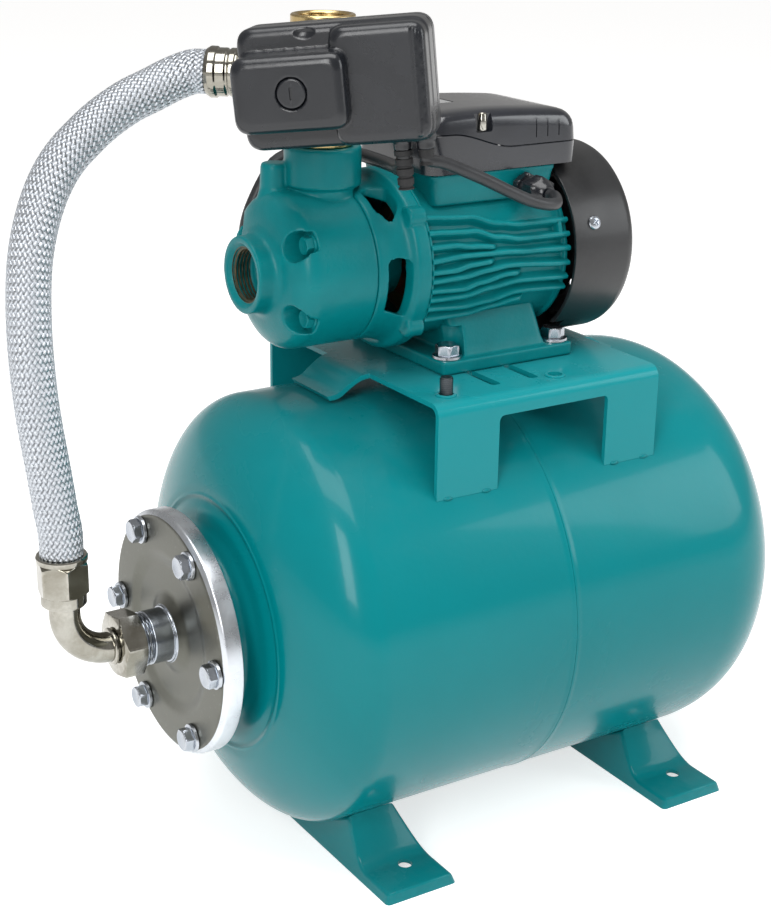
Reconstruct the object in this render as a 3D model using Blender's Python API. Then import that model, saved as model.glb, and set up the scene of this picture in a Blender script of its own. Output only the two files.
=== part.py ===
# Booster pump set: a peripheral pump on a bracket over a horizontal pressure tank,
# joined by a braided hose. Metres, +Z up, X along the tank and the pump shaft, the
# tank's flange end and the suction port towards -X, the viewer's side towards -Y.
import math

import bmesh
import bpy
from mathutils import Matrix, Vector

for old in list(bpy.data.objects):
    bpy.data.objects.remove(old, do_unlink=True)

MM = 0.001
GAP = 0.0003
SEGS = 28
TANK_SEGS = 30

# Pressure tank
TANK_R = 0.1375
TANK_WALL = 0.0015
TANK_CLEARANCE = 0.0145
TANK_Z = TANK_R + TANK_CLEARANCE
DOME_FRONT_X = 0.0765
DOME_FRONT_DEPTH = 0.055
DOME_REAR_X = 0.330
DOME_REAR_DEPTH = 0.0807
SEAM_X = 0.208
NECK_R = 0.056
NECK_TO_BOLTS = 0.0094
BOLTS_TO_EDGE = 0.0069
SWAGE_OUT = 0.0252
NECK_RING_X0 = 0.006
NECK_RING_X1 = 0.012
BLADDER_WALL = 0.002
BLADDER_ROOM = 0.0325

# Counter-flange and its bolts
BOLT_CIRCLE_R = NECK_R + NECK_TO_BOLTS
NECK_RING_R = BOLT_CIRCLE_R + BOLTS_TO_EDGE
RIM_OVERHANG = 0.0039
FLANGE_R = NECK_RING_R + RIM_OVERHANG
RECESS_R = BOLT_CIRCLE_R - 0.0139
FLANGE_RIM = 0.0125
FLANGE_PLATE = 0.003
NIPPLE_R = 0.0166
NIPPLE_BORE = 0.0125
NIPPLE_END = -0.028
THREAD_PITCH = 0.0046
M8_R = 0.004
M8_HOLE_R = 0.0044
M8_FLATS = 0.013
M8_FLANGE_R = 0.0088

# Tank feet
FOOT_FRONT_X = 0.083
FOOT_REAR_X = 0.3016
FOOT_LENGTH = 0.0508
FOOT_HALF_WIDTH = 0.1247
FOOT_SHEET = 0.0025
FOOT_PAD_Z = 0.008
FOOT_HOLE_R = 0.0045
FOOT_HOLE_Y = FOOT_HALF_WIDTH - 0.0239
FOOT_FLARE_Y = FOOT_HALF_WIDTH - 0.0287
FOOT_TOP_Y = FOOT_HALF_WIDTH - 0.0487
FOOT_REAR_SLOPE = 0.44
FOOT_FRONT_SLOPE = 0.05

# Pump bracket
PLATE_LIFT = 0.0152
PLATE_TOP = TANK_Z + TANK_R + PLATE_LIFT
PLATE_SHEET = 0.003
PLATE_X0 = 0.1278
PLATE_X1 = 0.2919
PLATE_HALF_WIDTH = 0.1002
PLATE_BEND_R = 0.008
LEG_FRONT = 0.0436
LEG_REAR = 0.0395
LEG_OPENING_TOP = PLATE_TOP - 0.0127
TONGUE_HALF_WIDTH = 0.025
SLOT_X = (0.182, 0.210)
SLOT_HALF = 0.0033
SLOT_Y0 = 0.050
SLOT_Y1 = 0.082
STUD_X = (0.1433, 0.2228)
STUD_Y = 0.0845
MOUNT_BOLT_X = (0.1725, 0.2530)
MOUNT_BOLT_Y = 0.042

# Pump
AXIS_HEIGHT = 0.0643
AXIS_Z = PLATE_TOP + AXIS_HEIGHT
CASE_R = 0.047
CASE_X0 = 0.0765
CASE_X1 = 0.1197
CHAMBER_X0 = CASE_X1 - 0.0212
PORT_X = 0.0542
PORT_R = 0.023
PORT_BORE = 0.0166
CASE_WALL = 0.011
CHAMBER_R = CASE_R - CASE_WALL
DISCHARGE_X = 0.109
DISCHARGE_R = 0.0229
DISCHARGE_HEIGHT = 0.072
DISCHARGE_TOP = AXIS_Z + DISCHARGE_HEIGHT
CASE_BOLT_R = CASE_R - 0.0075
CASE_BOLT_ANGLE = 33
IMPELLER_R = CHAMBER_R - 0.0015
IMPELLER_VANES = 20
BRACKET_X1 = 0.152
BRACKET_RING_R = CASE_R + 0.008
HUB_R = 0.023
WINDOW_X0 = CASE_X1 + 0.0071
WINDOW_X1 = BRACKET_X1 - 0.0115
FRONT_BEARING_X = BRACKET_X1 - 0.0120
SHAFT_R = 0.0075
SHAFT_NOSE_R = 0.006
BEARING_R = 0.0175
BEARING_WIDTH = 0.011

# Motor
MOTOR_X1 = 0.2537
MOTOR_BORE_R = 0.0463
MOTOR_BASE_R = MOTOR_BORE_R + 0.0035
MOTOR_FIN_R = MOTOR_BASE_R + 0.0057
MOTOR_FOOT_X0 = 0.1625
MOTOR_FOOT_X1 = 0.2605
MOTOR_FOOT_Y = 0.0535
MOTOR_FOOT_T = 0.008
BOX_X0 = 0.157
BOX_X1 = 0.2672
BOX_Y = 0.042
BOX_SPLIT_Z = AXIS_Z + 0.055
LID_TOP_Z = BOX_SPLIT_Z + 0.038
LID_WALL = 0.002
FAN_COVER_R = 0.0607
FAN_COVER_X0 = MOTOR_X1 + GAP
FAN_COVER_X1 = FAN_COVER_X0 + 0.048
FAN_COVER_WALL = 0.002
FAN_R = FAN_COVER_R - 0.0107
GLAND_X = 0.226
GLAND_Z = AXIS_Z + 0.0425
GLAND_R = 0.0085
GLAND_TIP_Y = -0.066

# Brass fitting, hose and pressure switch
BRASS_R = 0.0189
BRASS_BORE = 0.0120
BRASS_HEIGHT = 0.075
BRASS_TOP = DISCHARGE_TOP + BRASS_HEIGHT
SWITCH_YAW = math.radians(-42)
SWITCH_ROLL = math.radians(5.9)
SWITCH_Z = DISCHARGE_TOP + 0.041
SWITCH_BACK = 0.033
SWITCH_SPLIT = SWITCH_BACK + 0.012
SWITCH_BODY = SWITCH_SPLIT + 0.017
SWITCH_BLOCK = SWITCH_BODY + 0.010
SWITCH_FRONT = SWITCH_BODY + 0.023
SWITCH_WALL = 0.002
COVER_SCREW_R = 0.008
HOSE_YAW = math.radians(-130)
HOSE_Z = DISCHARGE_TOP + 0.040
HOSE_R = 0.0129
HOSE_START = 0.068
ELBOW_X = -0.0658
ELBOW_R = 0.0093
ELBOW_BEND = 0.028
FERRULE_BOTTOM = TANK_Z + ELBOW_BEND + 0.007
FERRULE_TOP = FERRULE_BOTTOM + 0.031
CABLE_R = 0.0036
MAINS_R = 0.004
COIL_X, COIL_Y, COIL_Z, COIL_R, COIL_HALF = 0.262, 0.205, 0.0125, 0.041, 0.010
COIL_LEAD_Y = COIL_Y - 0.045

GREEN = ("teal_paint", (0.0, 0.262, 0.27, 1.0), 0.28, 0.0)
GREEN_CAST = ("teal_cast_paint", (0.0, 0.255, 0.26, 1.0), 0.36, 0.0)
ZINC = ("zinc_plate", (0.62, 0.62, 0.60, 1.0), 0.34, 0.95)
BOLT_CHROME = ("bright_zinc", (0.72, 0.73, 0.75, 1.0), 0.22, 1.0)
NICKEL = ("nickel_brass", (0.66, 0.63, 0.57, 1.0), 0.2, 1.0)
BRASS = ("brass", (0.60, 0.45, 0.22, 1.0), 0.35, 1.0)
BRAID = ("steel_braid", (0.55, 0.57, 0.62, 1.0), 0.35, 0.9)
BLACK = ("black_plastic", (0.035, 0.037, 0.042, 1.0), 0.42, 0.0)
BLACK_SOFT = ("black_cable", (0.03, 0.031, 0.034, 1.0), 0.5, 0.0)
RUBBER = ("black_rubber", (0.02, 0.02, 0.02, 1.0), 0.7, 0.0)
STEEL = ("turned_steel", (0.55, 0.55, 0.56, 1.0), 0.3, 1.0)
COPPER = ("winding_copper", (0.55, 0.22, 0.10, 1.0), 0.4, 0.8)
CERAMIC = ("seal_ceramic", (0.75, 0.73, 0.70, 1.0), 0.4, 0.0)
IRON = ("core_iron", (0.20, 0.20, 0.21, 1.0), 0.5, 0.8)

root = bpy.data.objects.new("set_root", None)
bpy.context.scene.collection.objects.link(root)
nodes = []
cord_nodes = []


def material(spec):
    name, colour, roughness, metallic = spec
    found = bpy.data.materials.get(name)
    if found:
        return found
    made = bpy.data.materials.new(name)
    made.use_nodes = True
    shader = made.node_tree.nodes["Principled BSDF"]
    shader.inputs["Base Color"].default_value = colour
    shader.inputs["Roughness"].default_value = roughness
    shader.inputs["Metallic"].default_value = metallic
    made.diffuse_color = colour
    return made


def solid(verts, faces):
    """A temporary mesh object, its faces turned outwards."""
    mesh = bpy.data.meshes.new("work")
    mesh.from_pydata([tuple(v) for v in verts], [], faces)
    work = bmesh.new()
    work.from_mesh(mesh)
    bmesh.ops.recalc_face_normals(work, faces=work.faces)
    work.to_mesh(mesh)
    work.free()
    made = bpy.data.objects.new("work", mesh)
    bpy.context.scene.collection.objects.link(made)
    return made


def node(name, made, spec, origin=(0, 0, 0), sharp=35, cord=False):
    """Names a finished solid, gives it its origin and material, and hangs it on the root."""
    made.name = name
    made.data.name = name
    made.data.materials.clear()
    made.data.materials.append(material(spec))
    made.data.transform(Matrix.Translation(-Vector(origin)))
    made.location = origin
    made.data.shade_smooth()
    made.data.set_sharp_from_angle(angle=math.radians(sharp))
    made.parent = root
    nodes.append(made)
    if cord:
        cord_nodes.append(name)
    return made


def combine(base, tools, operation):
    """One exact Boolean per tool, applied at once so that no cutter is left."""
    for tool in tools:
        step = base.modifiers.new("step", "BOOLEAN")
        step.operation = operation
        step.solver = "EXACT"
        step.object = tool
        graph = bpy.context.evaluated_depsgraph_get()
        mesh = bpy.data.meshes.new_from_object(base.evaluated_get(graph))
        base.modifiers.clear()
        base.data = mesh
        bpy.data.objects.remove(tool, do_unlink=True)
    return base


def add(base, *tools):
    return combine(base, tools, "UNION")


def cut(base, *tools):
    return combine(base, tools, "DIFFERENCE")


def frame_of(axis):
    """Two directions square to the axis."""
    axis = Vector(axis).normalized()
    side = Vector((0, 0, 1)) if abs(axis.z) < 0.9 else Vector((1, 0, 0))
    first = side.cross(axis).normalized()
    return axis, first, axis.cross(first)


def lathe(profile, centre=(0, 0, 0), axis=(1, 0, 0), segs=SEGS, phase=0.0):
    """Turns (distance, radius) points about an axis; radius 0 is a pole."""
    axis, first, second = frame_of(axis)
    centre = Vector(centre)
    verts, rows = [], []
    for along, radius in profile:
        mid = centre + axis * along
        if radius < 1e-7:
            rows.append([len(verts)])
            verts.append(mid)
            continue
        row = []
        for i in range(segs):
            turn = phase + 2 * math.pi * i / segs
            row.append(len(verts))
            verts.append(mid + (first * math.cos(turn) + second * math.sin(turn)) * radius)
        rows.append(row)
    faces = []
    count = len(rows)
    for k in range(count):
        a, b = rows[k], rows[(k + 1) % count]
        if len(a) == 1 and len(b) == 1:
            continue
        for i in range(segs):
            j = (i + 1) % segs
            if len(a) == 1:
                faces.append((a[0], b[i], b[j]))
            elif len(b) == 1:
                faces.append((a[i], a[j], b[0]))
            else:
                faces.append((a[i], a[j], b[j], b[i]))
    return solid(verts, faces)


def loft(rings, closed=False):
    """Joins rings of equal count; closed joins the last ring to the first."""
    count = len(rings[0])
    verts = [point for ring in rings for point in ring]
    faces = []
    spans = len(rings) if closed else len(rings) - 1
    for k in range(spans):
        a, b = k * count, ((k + 1) % len(rings)) * count
        for i in range(count):
            j = (i + 1) % count
            faces.append((a + i, a + j, b + j, b + i))
    if not closed:
        faces.append(tuple(range(count)))
        faces.append(tuple(range(len(verts) - count, len(verts))))
    return solid(verts, faces)


def cup(outer, inner):
    """A hollow loft: outer rings from the rim to the crown, inner rings the same way."""
    count = len(outer[0])
    rings = outer + inner[::-1]
    verts = [point for ring in rings for point in ring]
    faces = []
    turn = len(outer) - 1
    for k in range(len(rings)):
        if k == turn:
            continue
        a, b = k * count, ((k + 1) % len(rings)) * count
        for i in range(count):
            j = (i + 1) % count
            faces.append((a + i, a + j, b + j, b + i))
    faces.append(tuple(range(turn * count, (turn + 1) * count)))
    faces.append(tuple(range((turn + 1) * count, (turn + 2) * count)))
    return solid(verts, faces)


def box(x0, x1, y0, y1, z0, z1):
    ring = [(y0, z0), (y1, z0), (y1, z1), (y0, z1)]
    return loft([[(x, y, z) for y, z in ring] for x in (x0, x1)])


def rounded(w0, w1, h0, h1, r, steps=2):
    """Corner-rounded rectangle as (w, h) points."""
    points = []
    corners = ((w1 - r, h1 - r, 0), (w0 + r, h1 - r, 90), (w0 + r, h0 + r, 180), (w1 - r, h0 + r, 270))
    for cw, ch, start in corners:
        for i in range(steps + 1):
            turn = math.radians(start + 90 * i / steps)
            points.append((cw + r * math.cos(turn), ch + r * math.sin(turn)))
    return points


def rod(start, end, radius, segs=16):
    start, end = Vector(start), Vector(end)
    axis = end - start
    return lathe([(0, 0), (0, radius), (axis.length, radius), (axis.length, 0)], start, axis, segs)


def hex_radius(index, count, flats):
    """Radius of a hexagon's outline at one of count even steps, a corner first."""
    turn = (2 * math.pi * index / count) % (math.pi / 3) - math.pi / 6
    return flats / 2 / math.cos(turn)


def fastener(start, axis, steps, segs=12, phase=0.0):
    """Stacks (distance, size, kind) sections, kind 'hex' by its flats or 'round' by its radius."""
    axis, first, second = frame_of(axis)
    rings = []
    for along, size, kind in steps:
        ring = []
        for i in range(segs):
            radius = hex_radius(i, segs, size) if kind == "hex" else size
            turn = phase + 2 * math.pi * i / segs
            ring.append(Vector(start) + axis * along + (first * math.cos(turn) + second * math.sin(turn)) * radius)
        rings.append(ring)
    return loft(rings)


def hex_nut(start, axis, length, flats, bore, segs=24, phase=0.0):
    axis, first, second = frame_of(axis)
    rings = []
    for along, kind in ((0, "in"), (0, "out"), (length, "out"), (length, "in")):
        ring = []
        for i in range(segs):
            radius = hex_radius(i, segs, flats) if kind == "out" else bore
            turn = phase + 2 * math.pi * i / segs
            ring.append(Vector(start) + axis * along + (first * math.cos(turn) + second * math.sin(turn)) * radius)
        rings.append(ring)
    return loft(rings, closed=True)


def smooth_route(route, step):
    """Even points along a smooth curve through the route points."""
    pts = [Vector(p) for p in route]
    pts = [pts[0] * 2 - pts[1]] + pts + [pts[-1] * 2 - pts[-2]]
    dense = []
    for k in range(1, len(pts) - 2):
        a, b, c, d = pts[k - 1:k + 3]
        for i in range(12):
            t = i / 12
            dense.append(0.5 * (2 * b + (c - a) * t + (2 * a - 5 * b + 4 * c - d) * t * t
                                + (3 * b - a - 3 * c + d) * t ** 3))
    dense.append(pts[-2])
    total = sum((q - p).length for p, q in zip(dense, dense[1:]))
    count = max(2, round(total / step))
    out, walked, want = [dense[0]], 0.0, total / count
    for p, q in zip(dense, dense[1:]):
        span = (q - p).length
        while len(out) < count and walked + span >= want * len(out):
            out.append(p.lerp(q, (want * len(out) - walked) / span))
        walked += span
    out.append(dense[-1])
    return out


def cord(name, route, radius, spec, step, resolution=2):
    curve = bpy.data.curves.new(name, "CURVE")
    curve.dimensions = "3D"
    curve.bevel_depth = radius
    curve.bevel_resolution = resolution
    curve.use_fill_caps = True
    points = smooth_route(route, step)
    head = (Vector(route[1]) - Vector(route[0])).normalized()
    tail = (Vector(route[-2]) - Vector(route[-1])).normalized()
    points[1] = points[0] + head * (points[1] - points[0]).length
    points[-2] = points[-1] + tail * (points[-2] - points[-1]).length
    spline = curve.splines.new("POLY")
    spline.points.add(len(points) - 1)
    for point, where in zip(spline.points, points):
        point.co = (*where, 1.0)
    curve.materials.append(material(spec))
    made = bpy.data.objects.new(name, curve)
    bpy.context.scene.collection.objects.link(made)
    made.parent = root
    nodes.append(made)
    cord_nodes.append(name)
    return made


tank_centre = (0, 0, TANK_Z)
axis_centre = (0, 0, AXIS_Z)


def tank_height(y):
    return TANK_Z + math.sqrt(TANK_R ** 2 - y ** 2)


def ellipse(x, depth, radius, degrees, power=1.0):
    t = math.radians(degrees)
    return (x + depth * math.sin(t) ** power, radius * math.cos(t) ** power)


# Front tank shell: deep-drawn dome with a neck, its clamp ring, and half of the cylinder
front_in = TANK_R - TANK_WALL
front = [(SEAM_X - GAP / 2, TANK_R + 0.0005), (SEAM_X - 0.0030, TANK_R)]
swage = NECK_R + SWAGE_OUT
dome_end = math.degrees(math.acos((swage + 0.0034) / TANK_R))
swage_x = ellipse(DOME_FRONT_X, -DOME_FRONT_DEPTH, TANK_R, dome_end)[0]
front += [ellipse(DOME_FRONT_X, -DOME_FRONT_DEPTH, TANK_R, dome_end * s) for s in (0, 0.31, 0.58, 0.81, 1.0)]
front += [(swage_x - 0.0008, swage), (swage_x + 0.0002, swage - 0.0026), (swage_x - 0.0030, swage - 0.0090)]
front += [(swage_x - 0.0038, swage - 0.0192), (swage_x - 0.0080, NECK_R), (NECK_RING_X1, NECK_R)]
front += [(NECK_RING_X1, NECK_RING_R), (NECK_RING_X0, NECK_RING_R), (NECK_RING_X0, NECK_R - TANK_WALL)]
front += [(swage_x - 0.0070, NECK_R - TANK_WALL), (swage_x - 0.0016, swage - 0.0172), (swage_x + 0.0024, swage - 0.0032)]
front += [ellipse(DOME_FRONT_X, -(DOME_FRONT_DEPTH - TANK_WALL), front_in, dome_end * s) for s in (0.84, 0.5, 0)]
front += [(SEAM_X - GAP / 2, front_in)]
shell = lathe(front, tank_centre, segs=TANK_SEGS)
for k in range(6):
    turn = math.radians(60 * k)
    y, z = BOLT_CIRCLE_R * math.cos(turn), TANK_Z + BOLT_CIRCLE_R * math.sin(turn)
    shell = cut(shell, rod((0.003, y, z), (0.016, y, z), M8_HOLE_R, 10))
node("tank_front_shell", shell, GREEN)

# Rear tank shell: the other half, with a lip inside the seam and the air valve's hole
LIP_R = front_in - GAP
VALVE_HOLE_R = 0.0055
rear = [(SEAM_X + GAP / 2, TANK_R + 0.0005), (SEAM_X + 0.0030, TANK_R)]
rear += [ellipse(DOME_REAR_X, DOME_REAR_DEPTH, TANK_R, d, 0.8) for d in (0, 20, 36, 50, 62, 74)]
tip_x = DOME_REAR_X + DOME_REAR_DEPTH
rear += [(tip_x, 0.012), (tip_x, VALVE_HOLE_R), (tip_x - TANK_WALL, VALVE_HOLE_R), (tip_x - TANK_WALL, 0.012)]
inner_depth = DOME_REAR_DEPTH - TANK_WALL
rear += [ellipse(DOME_REAR_X, inner_depth, front_in, d, 0.8) for d in (74, 58, 42, 24, 0)]
rear += [(SEAM_X + 0.010, front_in), (SEAM_X + 0.008, LIP_R - TANK_WALL), (SEAM_X - 0.010, LIP_R - TANK_WALL)]
rear += [(SEAM_X - 0.010, LIP_R), (SEAM_X + GAP / 2, LIP_R)]
node("tank_rear_shell", lathe(rear, tank_centre, segs=TANK_SEGS), GREEN)

# Rubber bladder clamped between the counter-flange and the tank's ring
lip = NECK_R - TANK_WALL - GAP
w = BLADDER_WALL
bag = TANK_R - BLADDER_ROOM
bag_end = DOME_REAR_X
collar_r = BOLT_CIRCLE_R - M8_HOLE_R - GAP
bladder = [(0.0057, collar_r), (0.0057, lip), (0.028, lip), (0.045, lip + (bag - lip) * 0.31)]
bladder += [(0.070, lip + (bag - lip) * 0.80), (0.120, bag), (bag_end - 0.080, bag), (bag_end - 0.030, bag - 0.015)]
bladder += [(bag_end, 0), (bag_end - w, 0), (bag_end - 0.032, bag - 0.015 - w), (bag_end - 0.080, bag - w)]
bladder += [(0.120, bag - w), (0.0715, lip + (bag - lip) * 0.80 - w), (0.047, lip + (bag - lip) * 0.31 - w)]
bladder += [(0.0295, lip - w), (FLANGE_PLATE + GAP, lip - w), (FLANGE_PLATE + GAP, collar_r)]
node("tank_bladder", lathe(bladder, tank_centre, segs=16), RUBBER)

# Counter-flange: plated steel dish with a folded rim, hub and threaded nipple in one piece
dish = [(NIPPLE_END, NIPPLE_BORE), (NIPPLE_END, NIPPLE_R - 0.0012), (NIPPLE_END + 0.0012, NIPPLE_R)]
x = NIPPLE_END + 0.0070
while x < -0.0055:
    dish += [(x, NIPPLE_R), (x + THREAD_PITCH / 2, NIPPLE_R - 0.0010)]
    x += THREAD_PITCH
dish += [(-0.0032, NIPPLE_R + 0.0004), (-0.0028, NIPPLE_R + 0.0062), (0.0024, NIPPLE_R + 0.0102)]
dish += [(0.0025, RECESS_R - 0.0080), (0.0, RECESS_R), (0.0, FLANGE_R - 0.0035)]
dish += [(0.0014, FLANGE_R - 0.0008), (0.0040, FLANGE_R), (FLANGE_RIM, FLANGE_R)]
dish += [(FLANGE_RIM, FLANGE_R - 0.0026), (FLANGE_PLATE, FLANGE_R - 0.0034), (FLANGE_PLATE, RECESS_R)]
dish += [(0.0056, RECESS_R - 0.0055), (0.0056, NIPPLE_R + 0.0134), (0.0030, NIPPLE_BORE)]
flange = lathe(dish, tank_centre, segs=24)
for k in range(6):
    turn = math.radians(60 * k)
    y, z = BOLT_CIRCLE_R * math.cos(turn), TANK_Z + BOLT_CIRCLE_R * math.sin(turn)
    flange = cut(flange, rod((-0.002, y, z), (0.0045, y, z), M8_HOLE_R, 10))
node("counter_flange", flange, ZINC)

for k in range(6):
    turn = math.radians(60 * k)
    y, z = BOLT_CIRCLE_R * math.cos(turn), TANK_Z + BOLT_CIRCLE_R * math.sin(turn)
    steps = [(0, M8_FLATS - 0.0012, "hex"), (0.0006, M8_FLATS, "hex"), (0.0055, M8_FLATS, "hex")]
    steps += [(0.0066, M8_FLANGE_R, "round"), (0.0078, M8_FLANGE_R, "round")]
    steps += [(0.0078, M8_R, "round"), (0.024, M8_R, "round")]
    bolt = fastener((-0.0078 - GAP, y, z), (1, 0, 0), steps, phase=math.radians(12 * k))
    node(f"flange_bolt_{k + 1}", bolt, BOLT_CHROME, (0, y, z))

# Air valve at the rear dome: stem, spring core and cap
stem_x = tip_x + GAP
stem = [(-0.012, 0.0018), (-0.012, 0.0050), (GAP, 0.0050), (GAP, 0.0090), (0.003, 0.0090)]
stem += [(0.004, 0.0050), (0.018, 0.0050), (0.018, 0.0030), (0.006, 0.0030), (0.004, 0.0018)]
node("valve_stem", lathe(stem, (tip_x, 0, TANK_Z), segs=14), BRASS)
core = [(0.0065, 0), (0.0065, 0.0022), (0.0125, 0.0022), (0.0135, 0.0012), (0.0175, 0.0012), (0.0175, 0)]
node("valve_core", lathe(core, (tip_x, 0, TANK_Z), segs=12), STEEL, (tip_x + 0.0175, 0, TANK_Z))
cap = [(0.0065, 0.0053), (0.0065, 0.0072), (0.0185, 0.0072), (0.0205, 0.0060), (0.0205, 0)]
cap += [(0.0190, 0), (0.0190, 0.0053)]
node("valve_cap", lathe(cap, (tip_x, 0, TANK_Z), segs=16), BLACK, (tip_x + 0.013, 0, TANK_Z))


# Tank feet: pressed sheet channels, open below, flared into flat pads
def foot_outline(inset, base_z):
    """Half outline as (y, z) from the pad's end to the tank's middle, then mirrored."""
    pad = FOOT_PAD_Z - inset
    reach = TANK_R + GAP + inset
    half = [(FOOT_HALF_WIDTH - inset, base_z), (FOOT_HALF_WIDTH - inset, pad - 0.0015)]
    flare = FOOT_FLARE_Y
    half += [(FOOT_HALF_WIDTH - inset - 0.0015, pad), (flare, pad), (flare - 0.0055 - inset * 0.6, pad + 0.0035)]
    half += [(flare - 0.0105 - inset, pad + 0.0105), (flare - 0.0160 - inset, pad + 0.0200)]
    y = FOOT_TOP_Y - inset
    for k in range(7):
        yy = y * (1 - k / 6)
        half.append((yy, TANK_Z - math.sqrt(reach ** 2 - yy ** 2)))
    return half + [(-yy, zz) for yy, zz in half[-2::-1]]


def channel(x0, x1, inset, base_z):
    rings = []
    for base, slope in ((x0 + inset, FOOT_FRONT_SLOPE), (x1 - inset * 1.1, -FOOT_REAR_SLOPE)):
        rings.append([(base + slope * zz, yy, zz) for yy, zz in foot_outline(inset, base_z)])
    return loft(rings)


for name, x0 in (("front_foot", FOOT_FRONT_X), ("rear_foot", FOOT_REAR_X)):
    foot = channel(x0, x0 + FOOT_LENGTH, 0.0, 0.0)
    foot = cut(foot, channel(x0, x0 + FOOT_LENGTH, FOOT_SHEET, -0.004))
    hole_x = x0 + FOOT_LENGTH * 0.55
    for side in (-1, 1):
        y = side * FOOT_HOLE_Y
        foot = cut(foot, rod((hole_x, y, 0.003), (hole_x, y, 0.013), FOOT_HOLE_R, 16))
    node(name, foot, GREEN)

# Pump bracket: bent sheet table on four legs, a tongue down to the tank at each end
h = PLATE_HALF_WIDTH
t = PLATE_SHEET
arc = [(math.radians(a)) for a in (0, 22.5, 45, 67.5, 90)]
outer = [(h, tank_height(h) + GAP)]
outer += [(h - PLATE_BEND_R + PLATE_BEND_R * math.cos(a), PLATE_TOP - PLATE_BEND_R + PLATE_BEND_R * math.sin(a))
          for a in arc]
inner_r = PLATE_BEND_R - t
inner = [(h - t, tank_height(h - t) + GAP)]
inner += [(h - PLATE_BEND_R + inner_r * math.cos(a), PLATE_TOP - PLATE_BEND_R + inner_r * math.sin(a)) for a in arc]
section = outer + [(-y, z) for y, z in outer[::-1]] + [(-y, z) for y, z in inner] + inner[::-1]
plate = loft([[(x, y, z) for y, z in section] for x in (PLATE_X0, PLATE_X1)])
window = rounded(PLATE_X0 + LEG_FRONT, PLATE_X1 - LEG_REAR, PLATE_TOP - 0.080, LEG_OPENING_TOP, 0.004, 2)
plate = cut(plate, loft([[(x, y, z) for x, z in window] for y in (-h - 0.020, h + 0.020)]))
for side, start in ((-1, PLATE_X0), (1, PLATE_X1)):
    rings = []
    drop = ((-0.004, 0.0, 0.0), (0.003, 0.0004, 0.0), (0.009, 0.0026, 0.0004), (0.016, 0.0070, 0.0010))
    for run, down, pull in drop + ((0.022, 0.0108, 0.0016), (0.028, 0.0113, 0.0020)):
        x = start + side * run
        half = TONGUE_HALF_WIDTH - run * 0.12
        top = PLATE_TOP - down
        rings.append([(x, half, top), (x, -half, top), (x - side * pull, -half, top - t), (x - side * pull, half, top - t)])
    plate = add(plate, loft(rings))
for x in SLOT_X:
    for side in (-1, 1):
        y0, y1 = sorted((side * SLOT_Y0, side * SLOT_Y1))
        slot = rounded(x - SLOT_HALF, x + SLOT_HALF, y0, y1, SLOT_HALF - 0.0002, 3)
        plate = cut(plate, loft([[(px, py, z) for px, py in slot] for z in (PLATE_TOP - 0.006, PLATE_TOP + 0.003)]))
for x in STUD_X:
    for side in (-1, 1):
        y = side * STUD_Y
        plate = add(plate, rod((x, y, PLATE_TOP - 0.0015), (x, y, PLATE_TOP + 0.0012), 0.0062, 12))
        plate = cut(plate, rod((x, y, PLATE_TOP - 0.006), (x, y, PLATE_TOP + 0.003), M8_HOLE_R, 10))
for x in MOUNT_BOLT_X:
    for side in (-1, 1):
        y = side * MOUNT_BOLT_Y
        plate = cut(plate, rod((x, y, PLATE_TOP - 0.006), (x, y, PLATE_TOP + 0.003), M8_HOLE_R, 10))
node("pump_bracket", plate, GREEN)

steps = [(0, M8_FLATS, "hex"), (0.0045, M8_FLATS, "hex"), (0.0045, M8_R, "round"), (0.0140, M8_R, "round")]
steps += [(0.0150, M8_R - 0.0008, "round")]
stud = fastener((STUD_X[0], -STUD_Y, PLATE_TOP - t - GAP - 0.0045), (0, 0, 1), steps)
node("bracket_stud", stud, BOLT_CHROME, (STUD_X[0], -STUD_Y, PLATE_TOP))

# Pump casing: suction boss ahead, discharge collar on top, four bolt pockets
case = [(PORT_X, PORT_R - 0.0006), (PORT_X + 0.0006, PORT_R), (0.0640, PORT_R + 0.0004), (0.0662, 0.0255)]
case += [(0.0690, CASE_R - 0.0105), (0.0730, CASE_R - 0.0035), (CASE_X0 + 0.001, CASE_R), (CASE_X1, CASE_R)]
case += [(CASE_X1, CHAMBER_R), (CHAMBER_X0, CHAMBER_R), (CHAMBER_X0, 0.0120), (0.0700, 0.0120), (0.0690, 0.0150)]
case += [(0.0665, PORT_BORE), (PORT_X + 0.0020, PORT_BORE), (PORT_X, PORT_BORE + 0.0012)]
casing = lathe(case, axis_centre, segs=26)
up = AXIS_Z + CHAMBER_R
neck_r = DISCHARGE_R - 0.0024
collar = [(up, 0), (up, neck_r), (DISCHARGE_TOP - 0.0240, neck_r), (DISCHARGE_TOP - 0.0228, DISCHARGE_R)]
collar += [(DISCHARGE_TOP - 0.0008, DISCHARGE_R), (DISCHARGE_TOP, DISCHARGE_R - 0.0008), (DISCHARGE_TOP, 0)]
neck = lathe(collar, (DISCHARGE_X, 0, 0), (0, 0, 1), 20)
neck = cut(neck, box(CASE_X1, CASE_X1 + 0.030, -0.040, 0.040, AXIS_Z + 0.020, AXIS_Z + CASE_R + 0.0012))
casing = add(casing, neck)
prime = (0.0835, 0.012)
boss_z = AXIS_Z + CASE_R - 0.009
boss_top = AXIS_Z + CASE_R + 0.015
boss = [(boss_z, 0), (boss_z, 0.0085), (boss_top - 0.0020, 0.0085), (boss_top, 0.0070), (boss_top, 0)]
casing = add(casing, lathe(boss, (prime[0], prime[1], 0), (0, 0, 1), 16))
seat_z = DISCHARGE_TOP - 0.016
low_z = AXIS_Z + CHAMBER_R - 0.006
over_z = DISCHARGE_TOP + 0.004
SEAT_R = DISCHARGE_R - 0.0061
bores = lathe([(low_z, 0), (low_z, 0.0085), (seat_z, 0.0085), (seat_z, SEAT_R), (over_z, SEAT_R), (over_z, 0)],
              (DISCHARGE_X, 0, 0), (0, 0, 1), 18, 0.11)
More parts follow.
